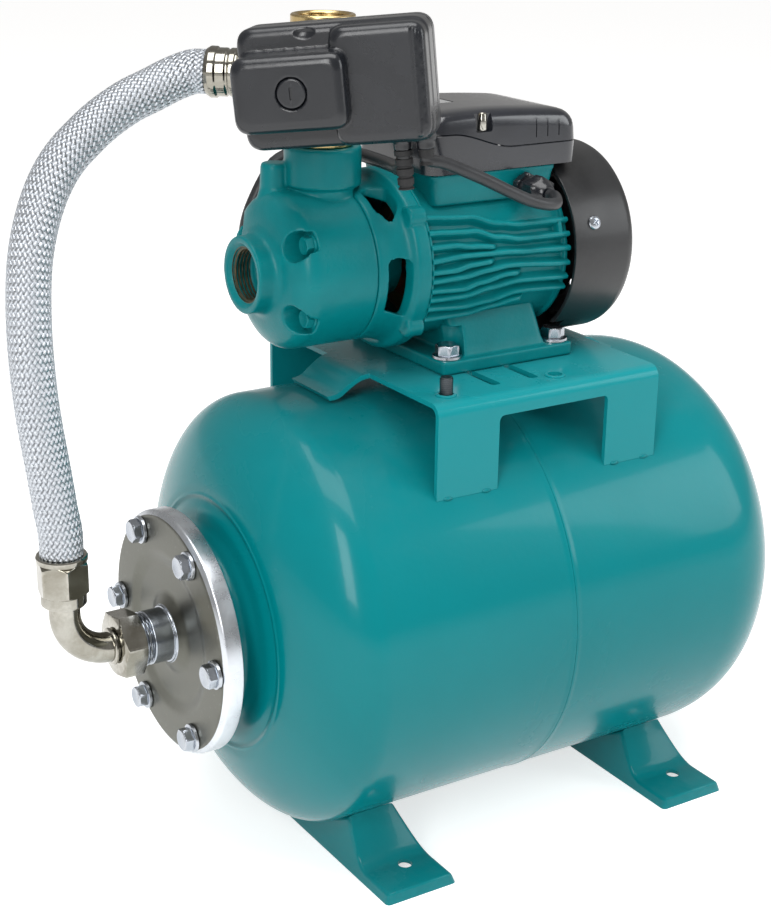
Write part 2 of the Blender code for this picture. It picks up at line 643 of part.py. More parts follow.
casing = cut(casing, bores)
bolt_spots = []
for angle in (CASE_BOLT_ANGLE, 180 - CASE_BOLT_ANGLE, 180 + CASE_BOLT_ANGLE, -CASE_BOLT_ANGLE):
    turn = math.radians(angle)
    spot = (CASE_BOLT_R * math.cos(turn), AXIS_Z + CASE_BOLT_R * math.sin(turn))
    bolt_spots.append(spot)
    casing = cut(casing, rod((0.060, *spot), (0.0825, *spot), 0.0088, 12))
    casing = cut(casing, rod((0.080, *spot), (0.125, *spot), 0.0033, 8))
node("pump_casing", casing, GREEN_CAST)
for k, (y, z) in enumerate(bolt_spots):
    steps = [(0, 0.0092, "hex"), (0.0005, 0.0100, "hex"), (0.0045, 0.0100, "hex"), (0.0045, 0.0064, "round")]
    steps += [(0.0056, 0.0064, "round"), (0.0056, 0.0030, "round"), (0.0420, 0.0030, "round")]
    bolt = fastener((0.0769 - GAP, y, z), (1, 0, 0), steps, segs=6)
    node(f"casing_bolt_{k + 1}", bolt, GREEN_CAST, (0.08, y, z))

# Motor bracket between casing and motor, with windows and the bearing hub
x0, x1 = CASE_X1 + GAP, BRACKET_X1
seat_x = FRONT_BEARING_X - 0.0005
body = [(x0, CASE_R), (x1 - 0.0110, CASE_R), (x1 - 0.0100, BRACKET_RING_R), (x1, BRACKET_RING_R), (x1, CASE_R - 0.0030)]
body += [(WINDOW_X0 + 0.0032, CASE_R - 0.0045), (WINDOW_X0 - 0.0003, CASE_R - 0.0070), (WINDOW_X0 - 0.0003, HUB_R)]
body += [(x1 - 0.0005, HUB_R), (x1 - 0.0005, BEARING_R + GAP), (seat_x, BEARING_R + GAP), (seat_x, 0.0125), (x0, 0.0125)]
lantern = lathe(body, axis_centre, segs=24)
for angle in (38, 142, 218, 322):
    turn = math.radians(angle)
    lug = BRACKET_RING_R - 0.0015
    spot = (lug * math.cos(turn), AXIS_Z + lug * math.sin(turn))
    lantern = add(lantern, rod((x1 - 0.0115, *spot), (x1 - 0.0005, *spot), 0.0062, 10))
for side in (-1, 1):
    y0, y1 = sorted((side * (CASE_R - 0.011), side * (CASE_R + 0.013)))
    lantern = cut(lantern, box(WINDOW_X0, WINDOW_X1, y0, y1, AXIS_Z - 0.024, AXIS_Z + 0.010))
    y0, y1 = sorted((side * 0.014, side * (CASE_R - 0.011)))
    lantern = cut(lantern, box(WINDOW_X0, WINDOW_X1, y0, y1, AXIS_Z + CASE_R - 0.0135, AXIS_Z + CASE_R + 0.013))
lantern = cut(lantern, box(WINDOW_X0, WINDOW_X1, -0.016, 0.016, AXIS_Z - CASE_R - 0.013, AXIS_Z - CASE_R + 0.007))
for y, z in bolt_spots:
    lantern = cut(lantern, rod((x0 - 0.002, y, z), (x0 + 0.005, y, z), 0.0033, 8))
node("motor_bracket", lantern, GREEN_CAST)

# Rotating parts on the shaft
nose = CHAMBER_X0 + GAP
step_x = CASE_X1 + 0.0018
shaft_end = FAN_COVER_X1 - 0.014
shaft = [(nose, 0), (nose, SHAFT_NOSE_R), (step_x, SHAFT_NOSE_R), (step_x, SHAFT_R)]
shaft += [(shaft_end - 0.002, SHAFT_R), (shaft_end, SHAFT_R - 0.001), (shaft_end, 0)]
node("pump_shaft", lathe(shaft, axis_centre, segs=20), STEEL, (0.20, 0, AXIS_Z))

VANE_X0 = CHAMBER_X0 + 0.007
VANE_X1 = VANE_X0 + 0.008
rings = []
for x in (VANE_X0, VANE_X1):
    ring = []
    for i in range(IMPELLER_VANES):
        root_r = IMPELLER_R - 0.006
        for part, radius in ((0.0, IMPELLER_R), (0.30, IMPELLER_R), (0.38, root_r), (0.92, root_r)):
            turn = 2 * math.pi * (i + part) / IMPELLER_VANES
            ring.append((x, radius * math.cos(turn), AXIS_Z + radius * math.sin(turn)))
    rings.append(ring)
impeller = cut(loft(rings), rod((VANE_X0 - 0.005, 0, AXIS_Z), (VANE_X1 + 0.006, 0, AXIS_Z), SHAFT_NOSE_R + GAP, 20))
node("impeller", impeller, BRASS, (0.1095, 0, AXIS_Z), sharp=30)

seal_x0 = CASE_X1 + 0.0023
seal_x1 = FRONT_BEARING_X - 0.0015
seal = [(seal_x0, SHAFT_R + GAP), (seal_x0, 0.0122), (seal_x1 - 0.0065, 0.0122), (seal_x1 - 0.0055, 0.0115)]
seal += [(seal_x1, 0.0115), (seal_x1, SHAFT_R + GAP)]
node("shaft_seal", lathe(seal, axis_centre, segs=14), CERAMIC)


def bearing(name, start):
    """A closed ball bearing drawn as one ring with grooved faces."""
    inner, outer, deep = SHAFT_R + GAP, BEARING_R, 0.0008
    groove = ((inner + outer) / 2 - 0.002, (inner + outer) / 2 + 0.002)
    end = start + BEARING_WIDTH
    ring = [(start, inner), (end, inner), (end, groove[0]), (end - deep, groove[0]), (end - deep, groove[1])]
    ring += [(end, groove[1]), (end, outer), (start, outer)]
    node(name, lathe(ring, axis_centre, segs=14), STEEL)


REAR_BEARING_X = MOTOR_X1 - 0.0117
bearing("front_bearing", FRONT_BEARING_X)
bearing("rear_bearing", REAR_BEARING_X)

CORE_X0 = 0.1800
CORE_X1 = 0.2260
rotor_r = MOTOR_BORE_R - 0.0208
rotor = [(CORE_X0 - 0.002, SHAFT_R + GAP), (CORE_X0 - 0.002, rotor_r - 0.0055), (CORE_X0 + 0.002, rotor_r)]
rotor += [(CORE_X1 - 0.002, rotor_r), (CORE_X1 + 0.002, rotor_r - 0.0055), (CORE_X1 + 0.002, SHAFT_R + GAP)]
node("rotor", lathe(rotor, axis_centre, segs=16), IRON, (0.203, 0, AXIS_Z))

STATOR_R = MOTOR_BORE_R - 0.0008
gap_r = rotor_r + 0.0007
coil_r = STATOR_R - 0.0045
stator = [(CORE_X0 - 0.010, gap_r + 0.0028), (CORE_X0 - 0.010, coil_r - 0.0010), (CORE_X0, coil_r), (CORE_X0, STATOR_R)]
stator += [(CORE_X1, STATOR_R), (CORE_X1, coil_r), (CORE_X1 + 0.010, coil_r - 0.0010)]
stator += [(CORE_X1 + 0.010, gap_r + 0.0028), (CORE_X1, gap_r), (CORE_X0, gap_r)]
node("stator", lathe(stator, axis_centre, segs=18), COPPER)

bx = REAR_BEARING_X
seat_r = BEARING_R + 0.0005
shield = [(bx + 0.0020, STATOR_R), (bx + 0.0110, STATOR_R), (bx + 0.0110, seat_r + 0.0060), (bx + 0.0140, seat_r + 0.0045)]
shield += [(bx + 0.0140, SHAFT_R + 0.0020), (bx + 0.0115, SHAFT_R + 0.0020), (bx + 0.0115, seat_r), (bx, seat_r)]
shield += [(bx, seat_r + 0.0045), (bx + 0.0060, seat_r + 0.0060), (bx + 0.0060, coil_r), (bx + 0.0020, coil_r + 0.0020)]
node("rear_shield", lathe(shield, axis_centre, segs=18), GREEN_CAST)

# Motor housing: die-cast barrel whose wavy cooling fins branch and run out, as on the real casting
FINS = (
    (((0.152, 32.5), (0.183, 30.5), (0.204, 25.0), (0.219, 23.0), (0.254, 22.5)), 1.0),
    (((0.152, 24.0), (0.184, 22.4), (0.202, 17.2), (0.218, 14.6), (0.254, 14.0)), 1.0),
    (((0.152, 15.7), (0.169, 15.5), (0.183, 13.5), (0.200, 11.8), (0.254, 9.8)), 0.196),
    (((0.152, 7.6), (0.175, 8.7), (0.200, 8.0), (0.227, 6.4), (0.254, 5.2)), 1.0),
    (((0.152, 0.8), (0.168, 0.6), (0.181, 2.6), (0.200, 3.4), (0.254, 0.8)), 0.194),
    (((0.152, -4.8), (0.175, -4.2), (0.193, -2.0), (0.207, -0.8), (0.254, -4.2)), 1.0),
    (((0.152, -10.9), (0.176, -12.0), (0.188, -9.3), (0.208, -6.2), (0.254, -8.6)), 0.214),
    (((0.152, -16.8), (0.177, -17.0), (0.196, -13.7), (0.215, -11.6), (0.254, -13.4)), 1.0),
    (((0.152, -22.8), (0.179, -24.5), (0.195, -23.0), (0.217, -19.0), (0.254, -20.6)), 1.0),
    (((0.152, -30.3), (0.182, -30.3), (0.200, -27.2), (0.218, -24.6), (0.254, -26.0)), 0.220),
)
RIM_R = MOTOR_BASE_R + 0.0042
RIM_X0 = BRACKET_X1 + 0.0060
RIM_X1 = MOTOR_X1 - 0.0057
STATIONS = (BRACKET_X1 + GAP, RIM_X0, RIM_X0 + 0.0008, 0.178, 0.191, 0.202, 0.214, 0.230, RIM_X1, RIM_X1 + 0.0008, MOTOR_X1)


def fin_height(points, x):
    for (xa, ha), (xb, hb) in zip(points, points[1:]):
        if x <= xb:
            s = min(max((x - xa) / (xb - xa), 0), 1)
            s = s * s * (3 - 2 * s)
            return (ha + (hb - ha) * s) * MM
    return points[-1][1] * MM


def housing_ring(x):
    rim = x < RIM_X0 + 0.0005 or x > RIM_X1 + 0.0005
    flank = []
    for points, end in FINS:
        angle = math.asin(fin_height(points, x) / MOTOR_FIN_R)
        tall = RIM_R if rim else (MOTOR_FIN_R if x <= end else MOTOR_BASE_R + 0.0002)
        foot = RIM_R if rim else MOTOR_BASE_R
        for half, radius in ((0.0016, foot), (0.0009, tall), (-0.0009, tall), (-0.0016, foot)):
            flank.append((angle + half / MOTOR_FIN_R, radius))
    base = RIM_R if rim else MOTOR_BASE_R
    ring = [(math.radians(d), base) for d in (105, 75)]
    near = [(a, r) for a, r in flank]
    under = [(math.radians(d), base) for d in (-70, -90, -110)]
    far = [(math.pi - a, r) for a, r in flank[::-1]]
    order = ring + [(a, r) for a, r in near] + under + far
    return [(x, -r * math.cos(a), AXIS_Z + r * math.sin(a)) for a, r in order]


housing = loft([housing_ring(x) for x in STATIONS])
foot_z = PLATE_TOP + GAP
rings = []
leg_x0 = MOTOR_FOOT_X0 + 0.0165
leg_x1 = MOTOR_FOOT_X1 - 0.0170
low, high = (foot_z + 0.004, leg_x0, leg_x1, 0.0475), (AXIS_Z - 0.030, leg_x0 - 0.006, leg_x1 - 0.005, 0.0400)
for z, xa, xb, y in (low, high):
    rings.append([(px, py, z) for px, py in rounded(xa, xb, -y, y, 0.004, 2)])
housing = add(housing, loft(rings))
pad = rounded(MOTOR_FOOT_X0, MOTOR_FOOT_X1, -MOTOR_FOOT_Y, MOTOR_FOOT_Y, 0.003, 2)
housing = add(housing, loft([[(px, py, z) for px, py in pad] for z in (foot_z, foot_z + MOTOR_FOOT_T)]))
rings = []
for z, grow in ((AXIS_Z + 0.0300, -0.002), (BOX_SPLIT_Z - 0.004, -0.0012), (BOX_SPLIT_Z, 0.0)):
    ring = rounded(BOX_X0 + 0.003 - grow, MOTOR_X1 - 0.0022 + grow, -BOX_Y + 0.001 - grow, BOX_Y - 0.001 + grow, 0.006)
    rings.append([(px, py, z) for px, py in ring])
housing = add(housing, loft(rings))
bore_ends = (BRACKET_X1 - 0.012, MOTOR_X1 + 0.016)
housing = cut(housing, lathe([(bore_ends[0], 0), (bore_ends[0], MOTOR_BORE_R), (bore_ends[1], MOTOR_BORE_R),
                              (bore_ends[1], 0)], axis_centre, segs=28))
for x in MOUNT_BOLT_X:
    for side in (-1, 1):
        y = side * MOUNT_BOLT_Y
        housing = cut(housing, rod((x, y, foot_z - 0.003), (x, y, foot_z + MOTOR_FOOT_T + 0.022), M8_HOLE_R, 8))
        housing = cut(housing, rod((x, y, foot_z + MOTOR_FOOT_T - 0.0002), (x, y, foot_z + 0.026), 0.0104, 12))
node("motor_housing", housing, GREEN_CAST, sharp=28)

k = 0
for x in MOUNT_BOLT_X:
    for side in (-1, 1):
        k += 1
        y = side * MOUNT_BOLT_Y
        top = foot_z + MOTOR_FOOT_T + GAP
        low = PLATE_TOP - t - GAP
        seat = foot_z + MOTOR_FOOT_T - 0.0002 + GAP
        steps = [(0, 0.0115, "hex"), (0.0007, M8_FLATS, "hex"), (0.0056, M8_FLATS, "hex")]
        steps += [(0.0058, 0.0082, "round"), (0.0066, 0.0090, "round"), (0.0082, 0.0092, "round")]
        height = seat + 0.0082
        steps += [(0.0082, M8_R, "round"), (height - low, M8_R, "round"), (height - low, M8_FLATS, "hex")]
        steps += [(height - low + 0.0060, M8_FLATS, "hex"), (height - low + 0.0062, M8_R, "round")]
        steps += [(height - low + 0.0085, M8_R, "round")]
        bolt = fastener((x, y, height), (0, 0, -1), steps, phase=0.2 * k)
        node(f"foot_bolt_{k}", bolt, BOLT_CHROME, (x, y, foot_z + MOTOR_FOOT_T))


# Terminal box: black frame below, lid above, parted along a wave
def parting(x):
    s = min(max((x - 0.172) / 0.045, 0), 1)
    s = s * s * (3 - 2 * s)
    return 0.4475 - 0.0100 * s


def skirt(x, y):
    """Lower edge of the frame: on the cast base, then arched clear over the fan cover."""
    if x < BOX_X1 - 0.014:
        return BOX_SPLIT_Z + GAP
    over = AXIS_Z + math.sqrt(max(FAN_COVER_R ** 2 - y ** 2, 0)) + 0.0012
    return max(BOX_SPLIT_Z + GAP, over)


def lid_top(x):
    s = (x - BOX_X0) / (BOX_X1 - BOX_X0)
    return LID_TOP_Z - 0.0060 * s * s - 0.0030 * (1 - s) ** 4


def box_ring(inset, height, shrink=0.0):
    """A ring of the terminal box; height gives z from x, shrink slopes the ends."""
    out = []
    walls = rounded(BOX_X0 + inset + shrink * 0.6, BOX_X1 - inset - shrink, -BOX_Y + inset + shrink * 0.5,
                    BOX_Y - inset - shrink * 0.5, 0.010 - inset)
    long = []
    for i, (px, py) in enumerate(walls):
        qx, qy = walls[(i + 1) % len(walls)]
        long.append((px, py))
        if abs(qx - px) > 0.03:
            long += [(px + (qx - px) * f, py) for f in (0.2, 0.35, 0.5, 0.65, 0.8)]
        if abs(qy - py) > 0.03 and px > 0.2:
            long += [(px, py + (qy - py) * f) for f in (0.15, 0.3, 0.5, 0.7, 0.85)]
    for px, py in long:
        out.append((px, py, height(px, py)))
    return out


wall = LID_WALL
frame_rings = [box_ring(0.0, skirt), box_ring(0.0, lambda x, y: parting(x) - GAP / 2)]
frame_rings += [box_ring(wall, lambda x, y: parting(x) - GAP / 2), box_ring(wall, skirt)]
node("terminal_frame", loft(frame_rings, closed=True), BLACK)
outer = [box_ring(0.0, lambda x, y: parting(x) + GAP / 2)]
inner = [box_ring(wall, lambda x, y: parting(x) + GAP / 2)]
for inset, drop, shrink in ((0.0, 0.0090, 0.0010), (0.0008, 0.0040, 0.0030), (0.003, 0.0012, 0.0060), (0.007, 0, 0.012)):
    outer.append(box_ring(inset, lambda x, y: lid_top(x) - drop, shrink))
for inset, drop, shrink in ((wall, 0.0095, 0.001), (wall + 0.0028, 0.0040, 0.006), (0.0075, 0.0022, 0.012)):
    inner.append(box_ring(inset, lambda x, y: lid_top(x) - drop, shrink))
lid = cup(outer, inner)
node("terminal_lid", lid, BLACK)
capacitor = [(0.178, 0), (0.178, 0.0120), (0.1795, 0.0135), (0.2365, 0.0135), (0.238, 0.0120), (0.238, 0)]
node("run_capacitor", lathe(capacitor, (0, 0.012, BOX_SPLIT_Z + 0.0135 + GAP), segs=16), BLACK)

gland_y = -(BOX_Y - 0.001) - GAP
reach = gland_y - GLAND_TIP_Y
steps = [(0, 0.0180, "hex"), (0.0050, 0.0180, "hex"), (0.0050, 0.0072, "round"), (0.0110, 0.0072, "round")]
steps += [(0.0110, 0.0170, "hex"), (0.0190, 0.0170, "hex"), (0.0215, 0.0066, "round"), (reach, 0.0050, "round")]
node("cable_gland", fastener((GLAND_X, gland_y, GLAND_Z), (0, -1, 0), steps, segs=12), BLACK)

# Fan, its cover and the cover's screws
hub = [(0.2600, SHAFT_R + GAP), (0.2600, 0.0160), (0.2640, 0.0160), (0.2660, FAN_R - 0.006), (0.2680, FAN_R - 0.006)]
hub += [(0.2690, 0.0150), (0.2840, 0.0140), (0.2840, SHAFT_R + GAP)]
fan = lathe(hub, axis_centre, segs=16)
for k in range(7):
    turn = 2 * math.pi * k / 7
    blade = box(0.2672, 0.2860, -0.0010, 0.0010, 0.0140, FAN_R)
    blade.data.transform(Matrix.Translation((0, 0, AXIS_Z)) @ Matrix.Rotation(turn, 4, "X"))
    fan = add(fan, blade)
node("cooling_fan", fan, BLACK, (0.272, 0, AXIS_Z))

r, wall = FAN_COVER_R, FAN_COVER_WALL
cover = [(FAN_COVER_X0, r), (FAN_COVER_X1 - 0.0070, r), (FAN_COVER_X1 - 0.0025, r - 0.0018)]
cover += [(FAN_COVER_X1, r - 0.0062), (FAN_COVER_X1, 0), (FAN_COVER_X1 - wall, 0), (FAN_COVER_X1 - wall, r - 0.0070)]
cover += [(FAN_COVER_X1 - 0.0080, r - wall), (FAN_COVER_X0, r - wall)]
hood = lathe(cover, axis_centre, segs=30)
hood = cut(hood, box(FAN_COVER_X0 - 0.004, MOTOR_FOOT_X1 + 0.003, -0.060, 0.060, 0.290, PLATE_TOP + 0.0185))
for ring_r, count in ((0.020, 5), (0.039, 9)):
    for k in range(count):
        turn = 2 * math.pi * (k + 0.5) / count
        slit = box(FAN_COVER_X1 - 0.006, FAN_COVER_X1 + 0.004, -0.0034, 0.0034, ring_r - 0.0070, ring_r + 0.0070)
        slit.data.transform(Matrix.Translation((0, 0, AXIS_Z)) @ Matrix.Rotation(turn, 4, "X"))
        hood = cut(hood, slit)
screw_spots = []
for angle in (161, 19):
    turn = math.radians(angle)
    side = Vector((0, math.cos(turn), math.sin(turn)))
    centre = Vector((0.2690, 0, AXIS_Z))
    screw_spots.append((centre, side))
    hood = cut(hood, rod(centre + side * (r - 0.004), centre + side * (r + 0.003), 0.0024, 12))
node("fan_cover", hood, BLACK)
for k, (centre, side) in enumerate(screw_spots):
    steps = [(0, 0.0030, "round"), (0.0008, 0.0042, "round"), (0.0018, 0.0044, "round"), (0.0018, 0.0020, "round")]
    steps += [(0.0055, 0.0020, "round")]
    head = centre + side * (r + GAP + 0.0018)
    node(f"fan_cover_screw_{k + 1}", fastener(head, -side, steps, segs=12), BOLT_CHROME, tuple(head))

# Brass fitting: upright body with the free outlet on top, a side port and a switch port
spigot = SEAT_R - 0.0004
d = DISCHARGE_TOP
body = [(d - 0.0110, BRASS_BORE), (d - 0.0110, spigot - 0.0006), (d - 0.0100, spigot), (d + 0.0002, spigot)]
body += [(d + 0.0004, spigot + 0.0020), (d + 0.0035, spigot + 0.0020), (d + 0.0045, BRASS_R - 0.0021)]
body += [(BRASS_TOP - 0.0240, BRASS_R - 0.0021), (BRASS_TOP - 0.0180, BRASS_R), (BRASS_TOP - 0.0008, BRASS_R)]
body += [(BRASS_TOP, BRASS_R - 0.0008), (BRASS_TOP, BRASS_R - 0.0027), (BRASS_TOP - 0.0150, BRASS_R - 0.0037)]
body += [(BRASS_TOP - 0.0155, BRASS_BORE)]
fitting = lathe(body, (DISCHARGE_X, 0, 0), (0, 0, 1), 22)
hose_dir = Vector((math.sin(HOSE_YAW), -math.cos(HOSE_YAW), 0))
switch_dir = Vector((math.sin(SWITCH_YAW), -math.cos(SWITCH_YAW), 0))
hose_base = Vector((DISCHARGE_X, 0, HOSE_Z))
switch_base = Vector((DISCHARGE_X, 0, SWITCH_Z))
port = [(0.0135, 0), (0.0135, 0.0148), (0.0220, 0.0150), (0.0222, 0.0140), (0.0340, 0.0140), (0.0340, 0)]
fitting = add(fitting, lathe(port, hose_base, hose_dir, 16))
fitting = add(fitting, rod(switch_base + switch_dir * 0.0135, switch_base + switch_dir * 0.0262, 0.0092, 12))
node("brass_fitting", fitting, BRASS)

upper_nut = hex_nut(hose_base + hose_dir * 0.0240, hose_dir, 0.0150, 0.0340, 0.0140 + GAP)
node("upper_hose_nut", upper_nut, NICKEL, tuple(hose_base + hose_dir * 0.030))
steps = [(0.0393, 0.0125, "round"), (0.0430, 0.0125, "round"), (0.0434, 0.0141, "round"), (0.0610, 0.0141, "round")]
steps += [(0.0625, 0.0150, "round"), (0.0655, 0.0150, "round"), (HOSE_START, 0.0135, "round")]
upper = fastener(hose_base, hose_dir, steps, segs=18)
node("upper_ferrule", upper, NICKEL, tuple(hose_base + hose_dir * 0.05))

# Lower hose end: crimped ferrule, elbow and swivel nut on the nipple
steps = [(0, 0.0150, "round"), (0.0006, 0.0152, "round"), (0.0040, 0.0152, "round"), (0.0044, 0.0272, "hex")]
steps += [(0.0235, 0.0272, "hex"), (0.0240, 0.0138, "round"), (FERRULE_TOP - FERRULE_BOTTOM, 0.0130, "round")]
lower = fastener((ELBOW_X, 0, FERRULE_TOP), (0, 0, -1), steps, segs=24, phase=0.2)
node("lower_ferrule", lower, NICKEL, (ELBOW_X, 0, FERRULE_TOP))

spine = [((ELBOW_X, 0, FERRULE_BOTTOM - GAP), (0, 0, -1))]
for k in range(5):
    a = math.radians(22.5 * k)
    where = (ELBOW_X + ELBOW_BEND - ELBOW_BEND * math.cos(a), 0, TANK_Z + ELBOW_BEND - ELBOW_BEND * math.sin(a))
    spine.append((where, (math.sin(a), 0, -math.cos(a))))
spine.append(((NIPPLE_END - 0.0045, 0, TANK_Z), (1, 0, 0)))


def elbow_ring(spot, radius):
    where, heading = spot
    heading = Vector(heading).normalized()
    side = Vector((0, 1, 0))
    up_dir = heading.cross(side)
    return [Vector(where) + (side * math.cos(2 * math.pi * i / 14) + up_dir * math.sin(2 * math.pi * i / 14)) * radius
            for i in range(14)]


end = ((NIPPLE_END - 0.0003, 0, TANK_Z), (1, 0, 0))
shoulder = ((NIPPLE_END - 0.0045, 0, TANK_Z), (1, 0, 0))
rings = [elbow_ring(s, ELBOW_R) for s in spine]
rings += [elbow_ring(shoulder, 0.0145), elbow_ring(end, 0.0145), elbow_ring(end, 0.0072)]
rings += [elbow_ring(s, 0.0072) for s in spine[:-1][::-1]]
elbow = loft(rings, closed=True)
collar_x = -0.0370
elbow = add(elbow, lathe([(0, 0.0085), (0, 0.0106), (0.0008, 0.0116), (0.0022, 0.0116), (0.0022, 0.0085)],
                         (collar_x - 0.0016, 0, TANK_Z), segs=18))
node("hose_elbow", elbow, NICKEL)

NUT_X0, NUT_X1 = -0.0358, -0.0212
rings = []
for x, kind in ((NUT_X0, "bore"), (NUT_X0 + 0.0002, "hex"), (NUT_X1, "hex"), (NUT_X1, "chamber"),
                (NIPPLE_END - 0.0048, "chamber"), (NIPPLE_END - 0.0048, "bore")):
    ring = []
    for i in range(24):
        size = {"bore": ELBOW_R + GAP, "chamber": NIPPLE_R + 0.0004}.get(kind)
        radius = hex_radius(i, 24, 0.037) if kind == "hex" else size
        turn = 2 * math.pi * i / 24 + 0.12
        ring.append((x, radius * math.cos(turn), TANK_Z + radius * math.sin(turn)))
    rings.append(ring)
node("swivel_nut", loft(rings, closed=True), NICKEL, (-0.030, 0, TANK_Z))

route = [(hose_base + hose_dir * (HOSE_START + GAP)), (hose_base + hose_dir * (HOSE_START + 0.008))]
BRAID_ROUTE = (
    (43.5, 52.0, 478.6), (36.5, 54.4, 475.6), (26.3, 56.3, 470.9), (13.6, 56.8, 466.0), (1.0, 56.0, 459.9),
    (-9.9, 54.5, 453.6), (-20.2, 52.2, 446.6), (-29.8, 49.6, 439.6), (-38.6, 46.6, 431.2), (-46.3, 43.2, 421.4),
    (-52.4, 39.9, 411.2), (-57.5, 36.4, 400.8), (-61.6, 33.0, 390.3), (-64.8, 29.5, 379.8), (-67.1, 26.2, 369.3),
    (-68.9, 23.1, 358.7), (-70.3, 20.1, 347.9), (-71.2, 17.4, 337.0), (-71.7, 15.0, 326.0), (-71.8, 12.9, 315.0),
    (-71.6, 10.9, 303.6), (-71.0, 8.9, 292.2), (-70.1, 7.0, 280.6), (-69.1, 5.2, 268.9), (-68.2, 3.5, 257.0),
    (-67.3, 2.0, 245.0),
)
route += [Vector(p) * MM for p in BRAID_ROUTE]
route += [Vector((ELBOW_X, 0.0003, FERRULE_TOP + 0.014)), Vector((ELBOW_X, 0, FERRULE_TOP + GAP))]
cord("braided_hose", route, HOSE_R, BRAID, 0.014, 4)

# Pressure switch in its own frame: u along the box, w up it, n out to the front
n = switch_dir
level = Vector((math.cos(SWITCH_YAW), math.sin(SWITCH_YAW), 0))
upright = Vector((0, 0, 1))
u = level * math.cos(SWITCH_ROLL) + upright * math.sin(SWITCH_ROLL)
w = upright * math.cos(SWITCH_ROLL) - level * math.sin(SWITCH_ROLL)


def sw(a, b, s):
    return switch_base + u * a + w * b + n * s


def sw_ring(u0, u1, w0, w1, r, s, inset=0.0):
    shape = rounded(u0 + inset, u1 - inset, w0 + inset, w1 - inset, max(r - inset, 0.001), 2)
    return [sw(a, b, s) for a, b in shape]


U0, U1, W0, W1 = -0.0340, 0.0725, -0.0335, 0.0335
BODY = (U0, U1, W0, W1, 0.010)
base = loft([sw_ring(*BODY, SWITCH_BACK, 0.0030), sw_ring(*BODY, SWITCH_BACK + 0.0020, 0.0008),
             sw_ring(*BODY, SWITCH_BACK + 0.0040), sw_ring(*BODY, SWITCH_SPLIT - GAP)])
base = add(base, rod(sw(0, 0, 0.0265), sw(0, 0, SWITCH_BACK + 0.001), 0.0090, 16))
GLAND_U = (0.050, 0.063)
GLAND_S = (0.0390, 0.0390)
for a, s in zip(GLAND_U, GLAND_S):
    base = add(base, rod(sw(a, W0 + 0.002, s), sw(a, W0 - 0.007, s), 0.0050, 14))
node("switch_base", base, BLACK)

shut = SWITCH_SPLIT + GAP
cover = loft([sw_ring(*BODY, shut), sw_ring(*BODY, SWITCH_BODY - 0.004), sw_ring(*BODY, SWITCH_BODY - 0.001, 0.0012),
              sw_ring(*BODY, SWITCH_BODY, 0.0032)])
BLOCK = (0.0190, 0.0718, -0.0322, 0.0318, 0.009)
RAISED = (-0.0338, 0.0292, -0.0212, 0.0202, 0.009)
cover = add(cover, loft([sw_ring(*BLOCK, SWITCH_BODY - 0.0060, 0.0006), sw_ring(*BLOCK, SWITCH_BLOCK - 0.0040, 0.0006),
                         sw_ring(*BLOCK, SWITCH_BLOCK - 0.0012, 0.0018), sw_ring(*BLOCK, SWITCH_BLOCK, 0.0044)]))
cover = add(cover, loft([sw_ring(*RAISED, SWITCH_BODY - 0.0050, -0.0006), sw_ring(*RAISED, SWITCH_FRONT - 0.0040, 0.0004),
                         sw_ring(*RAISED, SWITCH_FRONT - 0.0012, 0.0016), sw_ring(*RAISED, SWITCH_FRONT, 0.0042)]))
v = SWITCH_WALL
cover = cut(cover, loft([sw_ring(*BODY, shut - 0.003, v), sw_ring(*BODY, SWITCH_BODY - v - 0.001, v + 0.0012)]))
cover = cut(cover, loft([sw_ring(*BLOCK, SWITCH_BODY - 0.006, v + 0.002), sw_ring(*BLOCK, SWITCH_BLOCK - v, v + 0.003)]))
cover = cut(cover, loft([sw_ring(*RAISED, SWITCH_BODY - 0.006, v + 0.002), sw_ring(*RAISED, SWITCH_FRONT - v - 0.003, v + 0.003)]))
cover = cut(cover, rod(sw(0, 0, SWITCH_FRONT - 0.0018), sw(0, 0, SWITCH_FRONT + 0.003), COVER_SCREW_R + 0.0006, 24))
cover = cut(cover, rod(sw(0, 0, SWITCH_FRONT - 0.010), sw(0, 0, SWITCH_FRONT - 0.001), 0.0028, 12))
node("switch_cover", cover, BLACK)

screw = lathe([(0, 0), (0, 0.0022), (0.0382, 0.0022), (0.0382, COVER_SCREW_R), (0.0398, COVER_SCREW_R),
               (0.0402, COVER_SCREW_R - 0.0005), (0.0402, 0)], sw(0, 0, SWITCH_FRONT - 0.0018 + GAP - 0.0382), n, 24)
groove = []
for s in (SWITCH_FRONT - 0.0006, SWITCH_FRONT + 0.002):
    groove.append([sw(a, b, s) for a, b in rounded(-0.0008, 0.0008, -0.0032, 0.0032, 0.0006, 2)])
screw = cut(screw, loft(groove))
node("cover_screw", screw, BLACK, tuple(sw(0, 0, SWITCH_FRONT)))

block = loft([sw_ring(0.024, 0.066, -0.024, 0.024, 0.002, SWITCH_SPLIT + 0.0002),
              sw_ring(0.024, 0.066, -0.024, 0.024, 0.002, SWITCH_SPLIT + 0.014)])
for a in (0.033, 0.0455, 0.058):
    block = add(block, rod(sw(a, -0.014, SWITCH_SPLIT + 0.010), sw(a, -0.014, SWITCH_SPLIT + 0.018), 0.0030, 8))
node("contact_block", block, CERAMIC)

coil_rings = []
TURNS, PER = 4, 8
for i in range(TURNS * PER + 1):
    turn = 2 * math.pi * i / PER
    s = SWITCH_SPLIT + 0.0012 + 0.0180 * i / (TURNS * PER)
    mid = Vector(sw(0.0075 * math.cos(turn), 0.0075 * math.sin(turn), s))
    radial = (u * math.cos(turn) + w * math.sin(turn))
    coil_rings.append([mid + (radial * math.cos(2 * math.pi * q / 4) + n * math.sin(2 * math.pi * q / 4)) * 0.0012
                       for q in range(4)])
node("range_spring", loft(coil_rings), STEEL)

